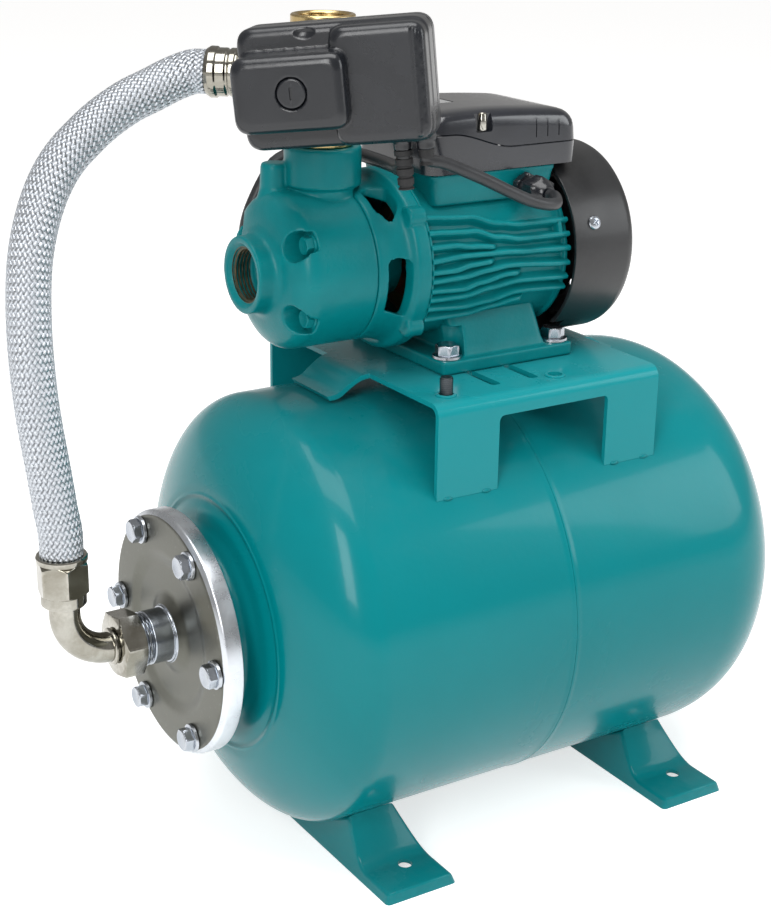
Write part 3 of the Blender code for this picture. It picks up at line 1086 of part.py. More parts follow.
# Cable from the switch to the motor's gland
start = Vector(sw(GLAND_U[1], W0 - 0.007 - GAP, GLAND_S[1]))
down = -w
CABLE_ROUTE = ((143, -76.5, 439.5), (156, -80.0, 434.0), (170, -82.5, 427.5), (184, -84.5, 420.5), (197, -86.0, 414.6),
               (209, -86.0, 411.2), (219, -82.5, 410.2))
route = [start, start + down * 0.006] + [Vector(p) * MM for p in CABLE_ROUTE]
route += [Vector((GLAND_X, GLAND_TIP_Y - 0.006, GLAND_Z)), Vector((GLAND_X, GLAND_TIP_Y - GAP, GLAND_Z))]
cord("motor_cable", route, CABLE_R, BLACK_SOFT, 0.010, 2)

# Mains lead: behind the pump, down the far side of the tank to a coil on the floor
start = Vector(sw(GLAND_U[0], W0 - 0.007 - GAP, GLAND_S[0]))
MAINS_ROUTE = ((128, -54, 434), (135, -36, 432), (138.5, -14, 431.5), (138.5, 10, 431.5), (131, 31, 431), (118, 44, 429.5),
               (105.4, 50, 423.5), (98.0, 51, 413.5), (92.0, 51.5, 403), (87.4, 52.5, 392), (86, 55, 380), (88.5, 60, 368),
               (95, 66.5, 356), (106, 75, 343.5), (119, 86, 331), (133, 97.5, 318.5), (144, 107.5, 303.5), (151, 117, 285),
               (155, 127.5, 263), (157, 137, 237), (158, 143.5, 206), (158, 147, 172), (157, 150, 138), (156.5, 152, 104),
               (157, 153.5, 72), (160, 155, 43), (167, 157, 21), (180, 158.5, 9.5), (197, 159.5, 5.4), (212, 160, 4.7))
route = [start, start + down * 0.006] + [Vector(p) * MM for p in MAINS_ROUTE]
into = Vector((COIL_X - 0.0266, COIL_LEAD_Y, MAINS_R + 0.0005))
route += [into - Vector((0.006, 0, 0)), into]
cord("mains_lead", route, MAINS_R, BLACK_SOFT, 0.017, 2)

hank = [(COIL_R + COIL_HALF * math.cos(a), COIL_Z + 0.0120 * math.sin(a)) for a in
        [2 * math.pi * i / 8 for i in range(8)]]
made = lathe([(z, r) for r, z in hank], (COIL_X, COIL_Y, 0.0), (0, 0, 1), 20)
node("mains_coil", made, BLACK_SOFT, cord=True)

PLUG_X, PLUG_Y, PLUG_Z = COIL_X + 0.0549, COIL_LEAD_Y, 0.0175
plug = loft([[(PLUG_X + px, PLUG_Y + a * k, PLUG_Z + b * k) for a, b in rounded(-0.019, 0.019, -0.017, 0.017, 0.012, 3)]
             for px, k in ((-0.021, 0.30), (-0.019, 0.52), (-0.004, 0.86), (0.004, 1.0), (0.017, 1.0), (0.0185, 0.94))])
for side in (-1, 1):
    y = PLUG_Y + side * 0.0095
    plug = add(plug, rod((PLUG_X + 0.016, y, PLUG_Z), (PLUG_X + 0.0375, y, PLUG_Z), 0.0024, 12))
node("mains_plug", plug, BLACK_SOFT, cord=True)

# The row's origin: bottom middle of everything but the cords
bpy.context.view_layer.update()
low = Vector((1e9, 1e9, 1e9))
high = -low
for made in nodes:
    if made.name in cord_nodes:
        continue
    for corner in made.bound_box:
        where = made.matrix_world @ Vector(corner)
        low = Vector(map(min, low, where))
        high = Vector(map(max, high, where))
root.location = (-(low.x + high.x) / 2, -(low.y + high.y) / 2, -low.z)
print("extent", [round(v, 5) for v in (high - low)], "origin shift", [round(v, 6) for v in root.location])
print("nodes", len(nodes))
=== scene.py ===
# Looks of the booster pump set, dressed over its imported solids. Lengths in the sections are
# millimetres, with x measured from the counter-flange's front face along the tank.
import math

import bmesh
import bpy
from mathutils import Matrix, Vector


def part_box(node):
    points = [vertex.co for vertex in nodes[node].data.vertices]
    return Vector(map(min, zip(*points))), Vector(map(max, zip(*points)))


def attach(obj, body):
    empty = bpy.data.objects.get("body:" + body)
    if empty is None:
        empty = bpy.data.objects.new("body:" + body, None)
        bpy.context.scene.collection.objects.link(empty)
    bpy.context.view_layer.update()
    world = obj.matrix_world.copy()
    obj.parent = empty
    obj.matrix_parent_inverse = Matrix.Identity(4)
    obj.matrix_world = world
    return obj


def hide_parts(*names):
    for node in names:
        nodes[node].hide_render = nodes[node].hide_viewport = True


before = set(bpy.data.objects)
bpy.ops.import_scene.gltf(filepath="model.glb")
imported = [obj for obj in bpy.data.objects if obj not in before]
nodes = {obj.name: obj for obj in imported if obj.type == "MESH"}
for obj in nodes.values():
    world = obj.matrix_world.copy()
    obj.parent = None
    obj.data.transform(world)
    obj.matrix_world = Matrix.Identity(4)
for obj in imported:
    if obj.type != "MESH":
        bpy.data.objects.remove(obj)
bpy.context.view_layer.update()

MM = 0.001
FACE_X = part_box("counter_flange")[0].x + 28 * MM
TANK_Z = (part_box("counter_flange")[0].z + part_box("counter_flange")[1].z) / 2 / MM
AXIS_Z = (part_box("pump_shaft")[0].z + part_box("pump_shaft")[1].z) / 2 / MM


def spot(x, y, z):
    """A place in the row frame, from millimetres."""
    return Vector((FACE_X + x * MM, y * MM, z * MM))


# Camera: a long lens at the photograph's viewing angle, shifted by what the picture
# was cropped by. Nothing here belongs to the object.
PHOTO_HEIGHT = 909
FOCAL_PX = 1760.6
SHIFT_PX = (29.45, 6.14)
CAMERA_SPOT = (-414.9, -890.2, 617.5)
AZIMUTH, ELEVATION, ROLL = -31.667, 19.871, 0.581

azimuth, elevation, roll = (math.radians(a) for a in (AZIMUTH, ELEVATION, ROLL))
back = Vector((math.sin(azimuth) * math.cos(elevation), -math.cos(azimuth) * math.cos(elevation), math.sin(elevation)))
level = Vector((math.cos(azimuth), math.sin(azimuth), 0))
upright = back.cross(level)
right = level * math.cos(roll) + upright * math.sin(roll)
above = upright * math.cos(roll) - level * math.sin(roll)
camera = bpy.data.objects.new("photo_camera", bpy.data.cameras.new("photo_camera"))
bpy.context.scene.collection.objects.link(camera)
camera.matrix_world = Matrix.Translation(spot(*CAMERA_SPOT)) @ Matrix((right, above, back)).transposed().to_4x4()
camera.data.sensor_fit = "AUTO"
camera.data.sensor_width = 36.0
camera.data.lens = FOCAL_PX * 36.0 / PHOTO_HEIGHT
camera.data.shift_x = SHIFT_PX[0] / PHOTO_HEIGHT
camera.data.shift_y = SHIFT_PX[1] / PHOTO_HEIGHT
camera.data.clip_end = 60
bpy.context.scene.camera = camera


# Studio: a pale floor that reads white and keeps the set's shadow, a dim grey room,
# a tall window-like box, a broad overhead box and a weak one from the right.
class Graph:
    """Adds nodes to one tree, each with its inputs as values or as links."""

    def __init__(self, tree):
        self.tree = tree

    def add(self, kind, inputs=None, **settings):
        made = self.tree.nodes.new(kind)
        for name, value in settings.items():
            setattr(made, name, value)
        for name, value in (inputs or {}).items():
            if isinstance(value, bpy.types.NodeSocket):
                self.tree.links.new(value, made.inputs[name])
            else:
                made.inputs[name].default_value = value
        return made

    def link(self, value, socket):
        self.tree.links.new(value, socket)

    def math(self, operation, first, second=0.0, clamp=False):
        return self.add("ShaderNodeMath", {0: first, 1: second}, operation=operation, use_clamp=clamp).outputs[0]

    def vector(self, operation, first, second=(0, 0, 0)):
        return self.add("ShaderNodeVectorMath", {0: first, 1: second}, operation=operation).outputs[0]


def bare_material(name):
    """A material with its tree emptied down to the shader and the output."""
    made = bpy.data.materials.new(name)
    made.use_nodes = True
    graph = Graph(made.node_tree)
    return made, graph, made.node_tree.nodes["Principled BSDF"]


FLOOR_HALF = 60.0
FLOOR_GLOW = 0.67
bm = bmesh.new()
bmesh.ops.create_grid(bm, x_segments=1, y_segments=1, size=FLOOR_HALF)
floor_mesh = bpy.data.meshes.new("studio_floor")
bm.to_mesh(floor_mesh)
bm.free()
floor = bpy.data.objects.new("studio_floor", floor_mesh)
bpy.context.scene.collection.objects.link(floor)
floor_paint, graph, shader = bare_material("studio_floor")
shader.inputs["Base Color"].default_value = (0.80, 0.80, 0.80, 1)
shader.inputs["Roughness"].default_value = 0.9
path = graph.add("ShaderNodeLightPath")
seen = graph.math("MAXIMUM", path.outputs["Is Camera Ray"], path.outputs["Is Glossy Ray"])
seen = graph.math("MAXIMUM", seen, path.outputs["Is Transmission Ray"])
glow = graph.math("MULTIPLY", seen, FLOOR_GLOW)
shader.inputs["Emission Color"].default_value = (1, 1, 1, 1)
graph.link(glow, shader.inputs["Emission Strength"])
floor_mesh.materials.append(floor_paint)

world = bpy.data.worlds.new("studio_room")
world.use_nodes = True
bpy.context.scene.world = world
sky = world.node_tree.nodes["Background"]
sky.inputs["Color"].default_value = (1.0, 0.985, 0.96, 1)
sky.inputs["Strength"].default_value = 0.36


def soft_box(name, place, aim, size, watts, colour=(1, 1, 1)):
    light = bpy.data.lights.new(name, "AREA")
    light.shape = "RECTANGLE"
    light.size, light.size_y = size
    light.energy = watts
    light.color = colour
    lamp = bpy.data.objects.new(name, light)
    bpy.context.scene.collection.objects.link(lamp)
    lamp.location = place
    lamp.rotation_euler = (Vector(aim) - Vector(place)).to_track_quat("-Z", "Y").to_euler()
    return lamp


soft_box("overhead_box", (-0.2, -0.3, 2.3), (0, 0, 0.2), (1.8, 1.4), 34)
soft_box("window_box", (-1.9, -1.5, 1.5), (0, 0, 0.25), (0.7, 1.7), 30)
soft_box("right_box", (1.9, -1.5, 1.2), (0, 0, 0.25), (1.0, 1.4), 16, (0.95, 0.98, 1.0))


# Braided hose: an EPDM tube under a stainless braid, crimped at both ends, from the
# fitting's side port round to the tank's elbow. Twenty-four carriers run each way,
# each a flat bundle of wires that passes over one and under one.
HOSE_RADIUS = 12.9
HOSE_YAW = -130
HOSE_LEVEL = 481
HOSE_START = 68.3
HOSE_STEP = 3
DISCHARGE_X = 109
ELBOW_X = -65.8
FERRULE_TOP = 218
HOSE_ROUTE = (
    (43.5, 52.0, 478.6), (36.5, 54.4, 475.6), (26.3, 56.3, 470.9), (13.6, 56.8, 466.0), (1.0, 56.0, 459.9),
    (-9.9, 54.5, 453.6), (-20.2, 52.2, 446.6), (-29.8, 49.6, 439.6), (-38.6, 46.6, 431.2), (-46.3, 43.2, 421.4),
    (-52.4, 39.9, 411.2), (-57.5, 36.4, 400.8), (-61.6, 33.0, 390.3), (-64.8, 29.5, 379.8), (-67.1, 26.2, 369.3),
    (-68.9, 23.1, 358.7), (-70.3, 20.1, 347.9), (-71.2, 17.4, 337.0), (-71.7, 15.0, 326.0), (-71.8, 12.9, 315.0),
    (-71.6, 10.9, 303.6), (-71.0, 8.9, 292.2), (-70.1, 7.0, 280.6), (-69.1, 5.2, 268.9), (-68.2, 3.5, 257.0),
    (-67.3, 2.0, 245.0),
)
STRANDS = 24
BRAID_PITCH = 110.0
STRAND_WIDTH = 3.0
STRAND_THICK = 0.34
WIRES = 6
STEEL_WIRE = (0.72, 0.75, 0.79, 1)


def smooth_route(route, step):
    """Even points along a smooth curve through the route's points."""
    pts = [Vector(p) for p in route]
    pts = [pts[0] * 2 - pts[1]] + pts + [pts[-1] * 2 - pts[-2]]
    dense = []
    for k in range(1, len(pts) - 2):
        a, b, c, d = pts[k - 1:k + 3]
        for i in range(12):
            t = i / 12
            bend = (2 * a - 5 * b + 4 * c - d) * t * t + (3 * b - a - 3 * c + d) * t ** 3
            dense.append(0.5 * (2 * b + (c - a) * t + bend))
    dense.append(pts[-2])
    total = sum((q - p).length for p, q in zip(dense, dense[1:]))
    count = max(2, round(total / step))
    out, walked, want = [dense[0]], 0.0, total / count
    for p, q in zip(dense, dense[1:]):
        span = (q - p).length
        while len(out) < count and walked + span >= want * len(out):
            out.append(p.lerp(q, (want * len(out) - walked) / span))
        walked += span
    out.append(dense[-1])
    return out


def route_length(points):
    return sum((q - p).length for p, q in zip(points, points[1:]))


def facing(yaw):
    """A level direction: 0 looks to the viewer's side, positive turns towards the motor."""
    return Vector((math.sin(math.radians(yaw)), -math.cos(math.radians(yaw)), 0))


def put(mesh, name, sharp=None):
    """A named mesh object, smooth but for its sharp edges."""
    made = bpy.data.objects.new(name, mesh)
    mesh.name = name
    bpy.context.scene.collection.objects.link(made)
    mesh.shade_smooth()
    if sharp:
        mesh.set_sharp_from_angle(angle=math.radians(sharp))
    return made


def dress(made, body, slot, *stands_for):
    """Lets a finished piece ride on its body in place of its solids."""
    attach(made, body)
    if stands_for:
        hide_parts(*stands_for)
    return made


def group_tree(name, inputs, outputs, kind="ShaderNodeTree"):
    """A node group with named sockets; gives its graph, its inputs and its output node."""
    tree = bpy.data.node_groups.new(name, kind)
    for label, socket, start in inputs:
        made = tree.interface.new_socket(name=label, in_out="INPUT", socket_type="NodeSocket" + socket)
        if start is not None:
            made.default_value = start
    for label, socket in outputs:
        tree.interface.new_socket(name=label, in_out="OUTPUT", socket_type="NodeSocket" + socket)
    graph = Graph(tree)
    given = graph.add("NodeGroupInput").outputs
    return graph, given, graph.add("NodeGroupOutput")


def grown(base, graph, values, name, sharp=None):
    """Runs a geometry tree on a wire object and keeps the result as a plain mesh."""
    step = base.modifiers.new("grown", "NODES")
    step.node_group = graph.tree
    for item in graph.tree.interface.items_tree:
        if item.in_out == "INPUT" and item.name in values:
            step[item.identifier] = values[item.name]
    depsgraph = bpy.context.evaluated_depsgraph_get()
    mesh = bpy.data.meshes.new_from_object(base.evaluated_get(depsgraph), preserve_all_data_layers=True,
                                           depsgraph=depsgraph)
    bpy.data.objects.remove(base, do_unlink=True)
    return put(mesh, name, sharp)


def wire(name, lines):
    """An object of bare edges, one chain for each list of points."""
    mesh = bpy.data.meshes.new(name)
    verts, edges = [], []
    for line in lines:
        edges += [(len(verts) + i, len(verts) + i + 1) for i in range(len(line) - 1)]
        verts += [tuple(p) for p in line]
    mesh.from_pydata(verts, edges, [])
    made = bpy.data.objects.new(name, mesh)
    bpy.context.scene.collection.objects.link(made)
    return made


def rub_group():
    """Edge wear: a mask on the outer edges of a piece, broken up by a fine noise."""
    graph, given, result = group_tree("edge_rub", [("Start", "Float", 0.52), ("End", "Float", 0.62),
                                                   ("Breakup", "Float", 300.0)], [("Mask", "Float")])
    edge = graph.add("ShaderNodeNewGeometry").outputs["Pointiness"]
    place = graph.add("ShaderNodeTexCoord").outputs["Object"]
    noise = graph.add("ShaderNodeTexNoise", {"Vector": place, "Scale": given["Breakup"], "Detail": 3.0})
    broken = graph.math("MULTIPLY", graph.math("SUBTRACT", noise.outputs["Fac"], 0.5), 0.12)
    reach = graph.add("ShaderNodeMapRange", {"Value": graph.math("ADD", edge, broken), "From Min": given["Start"],
                                             "From Max": given["End"]}).outputs[0]
    graph.link(reach, result.inputs["Mask"])
    return graph.tree


def smear_group():
    """Handling marks: soft uneven patches that vary a roughness and a shade of colour."""
    graph, given, result = group_tree("handling_smears", [("Scale", "Float", 14.0), ("Low", "Float", 0.2),
                                                          ("High", "Float", 0.3)],
                                      [("Value", "Float"), ("Mask", "Float")])
    place = graph.add("ShaderNodeTexCoord").outputs["Object"]
    broad = graph.add("ShaderNodeTexNoise", {"Vector": place, "Scale": given["Scale"], "Detail": 5.0,
                                             "Roughness": 0.6, "Distortion": 0.6})
    mask = graph.add("ShaderNodeMapRange", {"Value": broad.outputs["Fac"], "From Min": 0.35, "From Max": 0.68})
    value = graph.add("ShaderNodeMapRange",
                      {"Value": mask.outputs[0], "To Min": given["Low"], "To Max": given["High"]})
    graph.link(value.outputs[0], result.inputs["Value"])
    graph.link(mask.outputs[0], result.inputs["Mask"])
    return graph.tree


EDGE_RUB = rub_group()
SMEARS = smear_group()


def placed(graph, tree, values):
    made = graph.add("ShaderNodeGroup")
    made.node_tree = tree
    for name, value in values.items():
        if isinstance(value, bpy.types.NodeSocket):
            graph.link(value, made.inputs[name])
        else:
            made.inputs[name].default_value = value
    return made.outputs


def smears(graph, scale, low, high):
    """Handling marks as a roughness between two values, and as a mask."""
    return placed(graph, SMEARS, {"Scale": scale, "Low": low, "High": high})


def rubbed(graph, start, end, breakup):
    return placed(graph, EDGE_RUB, {"Start": start, "End": end, "Breakup": breakup})["Mask"]


def blend(graph, factor, first, second):
    """Mixes two colours, given as values or as links."""
    made = graph.add("ShaderNodeMix", data_type="RGBA")
    for key, value in ((0, factor), (6, first), (7, second)):
        if isinstance(value, bpy.types.NodeSocket):
            graph.link(value, made.inputs[key])
        else:
            made.inputs[key].default_value = value
    return made.outputs[2]


def braid_wire():
    """Stainless wires side by side in each strand, with painted shade between the wires and where each strand dips
    under another.
    """
    made, graph, shader = bare_material("braid_wire")
    across = graph.add("ShaderNodeAttribute", attribute_name="strand_across").outputs["Fac"]
    lift = graph.add("ShaderNodeAttribute", attribute_name="strand_lift").outputs["Fac"]
    ridge = graph.math("ABSOLUTE", graph.math("SINE", graph.math("MULTIPLY", across, math.pi * WIRES)))
    smear = smears(graph, 60.0, 0.42, 0.54)
    # Painted shade: the colour darkens between the wires, and darkens more where the strand dips under (low lift).
    gap_shaded = blend(graph, ridge, (0.47, 0.50, 0.54, 1), STEEL_WIRE)
    shade = blend(graph, lift, (0.36, 0.39, 0.44, 1), gap_shaded)
    bump = graph.add("ShaderNodeBump", {"Height": ridge, "Strength": 0.35, "Distance": 0.00010})
    graph.link(shade, shader.inputs["Base Color"])
    graph.link(smear["Value"], shader.inputs["Roughness"])
    graph.link(bump.outputs[0], shader.inputs["Normal"])
    shader.inputs["Metallic"].default_value = 0.92
    return made


def dark_rubber():
    """Moulded rubber: near black, dull, with a fine matt bloom."""
    made, graph, shader = bare_material("dark_rubber")
    smear = smears(graph, 30.0, 0.55, 0.72)
    graph.link(blend(graph, smear["Mask"], (0.012, 0.012, 0.013, 1), (0.022, 0.022, 0.023, 1)),
               shader.inputs["Base Color"])
    graph.link(smear["Value"], shader.inputs["Roughness"])
    return made


def braid_tree():
    """Lays strands both ways over a centre line, and the tube inside them."""
    numbers = [("Radius", "Float", 0.0129), ("Pitch", "Float", 0.11), ("Strands", "Int", 24),
               ("Width", "Float", 0.0027),
               ("Thickness", "Float", 0.0004), ("Steps", "Int", 260)]
    graph, given, result = group_tree(
        "hose_braid", [("Geometry", "Geometry", None)] + numbers
                                      + [("Wire", "Material", None), ("Tube", "Material", None)],
        [("Geometry", "Geometry")], "GeometryNodeTree")
    line = graph.add("GeometryNodeMeshToCurve", {"Mesh": given["Geometry"]}).outputs[0]
    length = graph.add("GeometryNodeCurveLength", {"Curve": line}).outputs[0]
    arch = graph.add("GeometryNodeCurvePrimitiveCircle", {"Resolution": 5, "Radius": 0.5}, mode="RADIUS").outputs[0]
    arch = graph.add("GeometryNodeStoreNamedAttribute",
                     {"Geometry": arch, "Name": "strand_across",
                      "Value": graph.math("ADD", graph.add("ShaderNodeSeparateXYZ", {
                          0: graph.add("GeometryNodeInputPosition").outputs[0]}).outputs[1], 0.5)},
                     domain="POINT", data_type="FLOAT").outputs[0]
    size = graph.add("ShaderNodeCombineXYZ", {"X": given["Thickness"], "Y": given["Width"], "Z": 1.0}).outputs[0]
    arch = graph.add("GeometryNodeTransform", {"Geometry": arch, "Scale": size}).outputs[0]
    parts = []
    for way in (1, -1):
        seed = graph.add("GeometryNodeCurvePrimitiveLine", {"End": (0, 0, 1)}).outputs[0]
        seed = graph.add("GeometryNodeResampleCurve", {"Curve": seed, "Count": given["Steps"]},
                         mode="COUNT").outputs[0]
        copies = graph.add("GeometryNodeDuplicateElements", {"Geometry": seed, "Amount": given["Strands"]},
                           domain="SPLINE")
        along = graph.add("GeometryNodeSplineParameter").outputs["Factor"]
        index = copies.outputs["Duplicate Index"]
        turns = graph.math("DIVIDE", length, given["Pitch"])
        share = graph.math("DIVIDE", index, given["Strands"])
        angle = graph.math("ADD", share, graph.math("MULTIPLY", graph.math("MULTIPLY", along, turns), float(way)))
        angle = graph.math("MULTIPLY", angle, 2 * math.pi)
        place = graph.add("GeometryNodeSampleCurve", {"Curves": line, "Factor": along}, mode="FACTOR",
                          data_type="FLOAT", use_all_curves=True)
        side = graph.vector("CROSS_PRODUCT", place.outputs["Tangent"], place.outputs["Normal"])
        first = graph.add("ShaderNodeVectorMath", {0: place.outputs["Normal"], "Scale": graph.math("COSINE", angle)},
                          operation="SCALE").outputs[0]
        second = graph.add("ShaderNodeVectorMath", {0: side, "Scale": graph.math("SINE", angle)},
                           operation="SCALE").outputs[0]
        radial = graph.vector("ADD", first, second)
        crossings = graph.math("MULTIPLY", graph.math("MULTIPLY", along, turns),
                               graph.math("MULTIPLY", given["Strands"], 2.0))
        shift = graph.math("MULTIPLY", index, 2.0 * way)
        phase = graph.math("ADD", graph.math("ADD", crossings, shift), 0.0 if way > 0 else 1.0)
        wave = graph.math("COSINE", graph.math("MULTIPLY", phase, math.pi))
        wave = graph.math("MAXIMUM", graph.math("MINIMUM", graph.math("MULTIPLY", wave, 1.35), 1.0), -1.0)
        deep = graph.math("SUBTRACT", given["Radius"], given["Thickness"])
        reach = graph.math("ADD", deep, graph.math("MULTIPLY", wave, graph.math("MULTIPLY", given["Thickness"], 0.5)))
        out = graph.add("ShaderNodeVectorMath", {0: radial, "Scale": reach}, operation="SCALE").outputs[0]
        # The lift is stored to paint shade into the wires' colour where a strand dips under another.
        lift = graph.math("ADD", graph.math("MULTIPLY", wave, 0.5), 0.5)
        held = graph.add("GeometryNodeStoreNamedAttribute", {"Geometry": copies.outputs[0], "Name": "strand_lift",
                                                             "Value": lift}, domain="POINT",
                         data_type="FLOAT").outputs[0]
        held = graph.add("GeometryNodeStoreNamedAttribute", {"Geometry": held, "Name": "strand_out", "Value": radial},
                         domain="POINT", data_type="FLOAT_VECTOR").outputs[0]
        laid = graph.add("GeometryNodeSetPosition", {"Geometry": held, "Position": graph.vector(
            "ADD", place.outputs["Position"], out)}).outputs[0]
        outward = graph.add("GeometryNodeInputNamedAttribute", {"Name": "strand_out"},
                            data_type="FLOAT_VECTOR").outputs[0]
        laid = graph.add("GeometryNodeSetCurveNormal", {"Curve": laid, "Normal": outward}, mode="FREE").outputs[0]
        parts.append(graph.add("GeometryNodeCurveToMesh",
                               {"Curve": laid, "Profile Curve": arch, "Fill Caps": True}).outputs[0])
    strands = graph.add("GeometryNodeJoinGeometry")
    for part in parts:
        graph.link(part, strands.inputs[0])
    strands = graph.add("GeometryNodeSetMaterial",
                        {"Geometry": strands.outputs[0], "Material": given["Wire"]}).outputs[0]
    core = graph.math("SUBTRACT", given["Radius"], graph.math("MULTIPLY", given["Thickness"], 1.9))
    ring = graph.add("GeometryNodeCurvePrimitiveCircle", {"Resolution": 32, "Radius": core}, mode="RADIUS").outputs[0]
    tube = graph.add("GeometryNodeCurveToMesh", {"Curve": line, "Profile Curve": ring, "Fill Caps": True}).outputs[0]
    tube = graph.add("GeometryNodeSetMaterial", {"Geometry": tube, "Material": given["Tube"]}).outputs[0]
    both = graph.add("GeometryNodeJoinGeometry")
    for part in (tube, strands):
        graph.link(part, both.inputs[0])
    whole = graph.add("GeometryNodeRealizeInstances", {"Geometry": both.outputs[0]}).outputs[0]
    graph.link(whole, result.inputs[0])
    return graph


hose_root = spot(DISCHARGE_X, 0, HOSE_LEVEL)
hose_way = facing(HOSE_YAW)
route = [hose_root + hose_way * HOSE_START * MM, hose_root + hose_way * (HOSE_START + 7.7) * MM]
route += [spot(*p) for p in HOSE_ROUTE]
route += [spot(ELBOW_X, 0.3, FERRULE_TOP + 14), spot(ELBOW_X, 0, FERRULE_TOP + 0.3)]
hose_line = smooth_route(route, HOSE_STEP * MM)
DARK_RUBBER = dark_rubber()
hose = grown(wire("hose_wire", [hose_line]), braid_tree(), {
    "Radius": HOSE_RADIUS * MM, "Pitch": BRAID_PITCH * MM, "Strands": STRANDS, "Width": STRAND_WIDTH * MM,
    "Thickness": STRAND_THICK * MM, "Steps": round(route_length(hose_line) / MM / BRAID_PITCH * STRANDS / 2 * 10),
    "Wire": braid_wire(), "Tube": DARK_RUBBER}, "hose_and_braid")
dress(hose, "frame", "steel_braid", "braided_hose")


# Motor cable: black PVC flex from the pressure switch down to the gland on the motor's
# flank, with a short moulded sleeve where it leaves the switch.
SWITCH_YAW = -42
SWITCH_ROLL = math.radians(5.9)
SWITCH_LEVEL = 482
SWITCH_LOW = -33.5
OUTLET_DROP = 7.3
OUTLET_DEPTH = 39.0
CABLE_OUTLET = 63
CABLE_RADIUS = 3.6
CABLE_STEP = 2.5
CABLE_SLEEVE = (9, 4.6, 3.9, 1)
CABLE_ROUTE = ((143, -76.5, 439.5), (156, -80.0, 434.0), (170, -82.5, 427.5), (184, -84.5, 420.5), (197, -86.0, 414.6),
               (209, -86.0, 411.2), (219, -82.5, 410.2))
GLAND = (226, -66.3, 411.5)
PVC_BLACK = (0.018, 0.019, 0.021, 1)

switch_root = spot(DISCHARGE_X, 0, SWITCH_LEVEL)
switch_out = facing(SWITCH_YAW)
switch_level = Vector((math.cos(math.radians(SWITCH_YAW)), math.sin(math.radians(SWITCH_YAW)), 0))
switch_along = switch_level * math.cos(SWITCH_ROLL) + Vector((0, 0, 1)) * math.sin(SWITCH_ROLL)
switch_up = Vector((0, 0, 1)) * math.cos(SWITCH_ROLL) - switch_level * math.sin(SWITCH_ROLL)


def on_switch(along, up, out):
    """A place in the switch's own frame: along its face, up it and out of it."""
    return switch_root + (switch_along * along + switch_up * up + switch_out * out) * MM


def carried_frames(points):
    """Directions square to a line, carried along it without twist."""
    heads = []
    for i in range(len(points)):
        before, after = points[max(i - 1, 0)], points[min(i + 1, len(points) - 1)]
        heads.append((after - before).normalized())
    side = heads[0].orthogonal().normalized()
    frames = []
    for head in heads:
        side = (side - head * side.dot(head)).normalized()
        frames.append((head, side, head.cross(side)))
    return frames


def ringed(rings, closed=False, caps=True):
    """A mesh through rings of equal count, with its faces turned outwards."""
    bm = bmesh.new()
    rows = [[bm.verts.new(p) for p in ring] for ring in rings]
    count = len(rows[0])
    pairs = list(zip(rows, rows[1:])) + ([(rows[-1], rows[0])] if closed else [])
    for a, b in pairs:
        for i in range(count):
            j = (i + 1) % count
            bm.faces.new((a[i], a[j], b[j], b[i]))
    if caps and not closed:
        bm.faces.new(rows[0])
        bm.faces.new(rows[-1])
    bmesh.ops.recalc_face_normals(bm, faces=bm.faces)
    return bm


def swept(points, radii, segs=20):
    """A round tube along a line; radii is one number in metres or one for each point."""
    if not isinstance(radii, (list, tuple)):
        radii = [radii] * len(points)
    rings = []
    for (head, side, other), point, radius in zip(carried_frames(points), points, radii):
        rings.append([point + (side * math.cos(2 * math.pi * i / segs)
                               + other * math.sin(2 * math.pi * i / segs)) * radius
                      for i in range(segs)])
    return ringed(rings)


def as_mesh(*shapes):
    """One mesh from several bmeshes, which are used up."""
    mesh = bpy.data.meshes.new("work")
    whole = bmesh.new()
    for shape in shapes:
        shape.to_mesh(mesh)
        whole.from_mesh(mesh)
        shape.free()
    whole.to_mesh(mesh)
    whole.free()
    return mesh


def relief(start, head, length, wide, narrow, ribs):
    """A tapered moulded sleeve with cut rings, along a straight line."""
    points, radii = [], []
    steps = ribs * 8
    for i in range(steps + 1):
        t = i / steps
        groove = 0.82 if ribs and i % 8 in (5, 6) and 0.1 < t < 0.95 else 1.0
        points.append(start + head * length * t * MM)
        radii.append((wide + (narrow - wide) * t) * groove * MM)
    return swept(points, radii, 24)


def pvc_flex():
    """PVC sheath: charcoal, softly glossy, with faint length marks and handling smears."""
    made, graph, shader = bare_material("pvc_flex")
    smear = smears(graph, 26.0, 0.34, 0.50)
    place = graph.add("ShaderNodeTexCoord").outputs["Object"]
    fine = graph.add("ShaderNodeTexNoise", {"Vector": place, "Scale": 900.0, "Detail": 2.0})
    bump = graph.add("ShaderNodeBump", {"Height": fine.outputs["Fac"], "Strength": 0.10, "Distance": 0.0002})
    graph.link(blend(graph, smear["Mask"], PVC_BLACK, (0.034, 0.036, 0.040, 1)), shader.inputs["Base Color"])
    graph.link(smear["Value"], shader.inputs["Roughness"])
    graph.link(bump.outputs[0], shader.inputs["Normal"])
    return made


PVC_FLEX = pvc_flex()
start = on_switch(CABLE_OUTLET, SWITCH_LOW - OUTLET_DROP, OUTLET_DEPTH)
route = [start, start - switch_up * 6 * MM] + [spot(*p) for p in CABLE_ROUTE]
route += [spot(GLAND[0], GLAND[1] - 5.7, GLAND[2]), spot(*GLAND)]
cable_line = smooth_route(route, CABLE_STEP * MM)
mesh = as_mesh(swept(cable_line, CABLE_RADIUS * MM))
mesh.materials.append(PVC_FLEX)
motor_cable = dress(put(mesh, "motor_flex", 60), "frame", "black_cable", "motor_cable")
mesh = as_mesh(relief(start, -switch_up, *CABLE_SLEEVE))
mesh.materials.append(DARK_RUBBER)
cable_sleeve = dress(put(mesh, "cable_sleeve", 50), "frame", "black_cable")


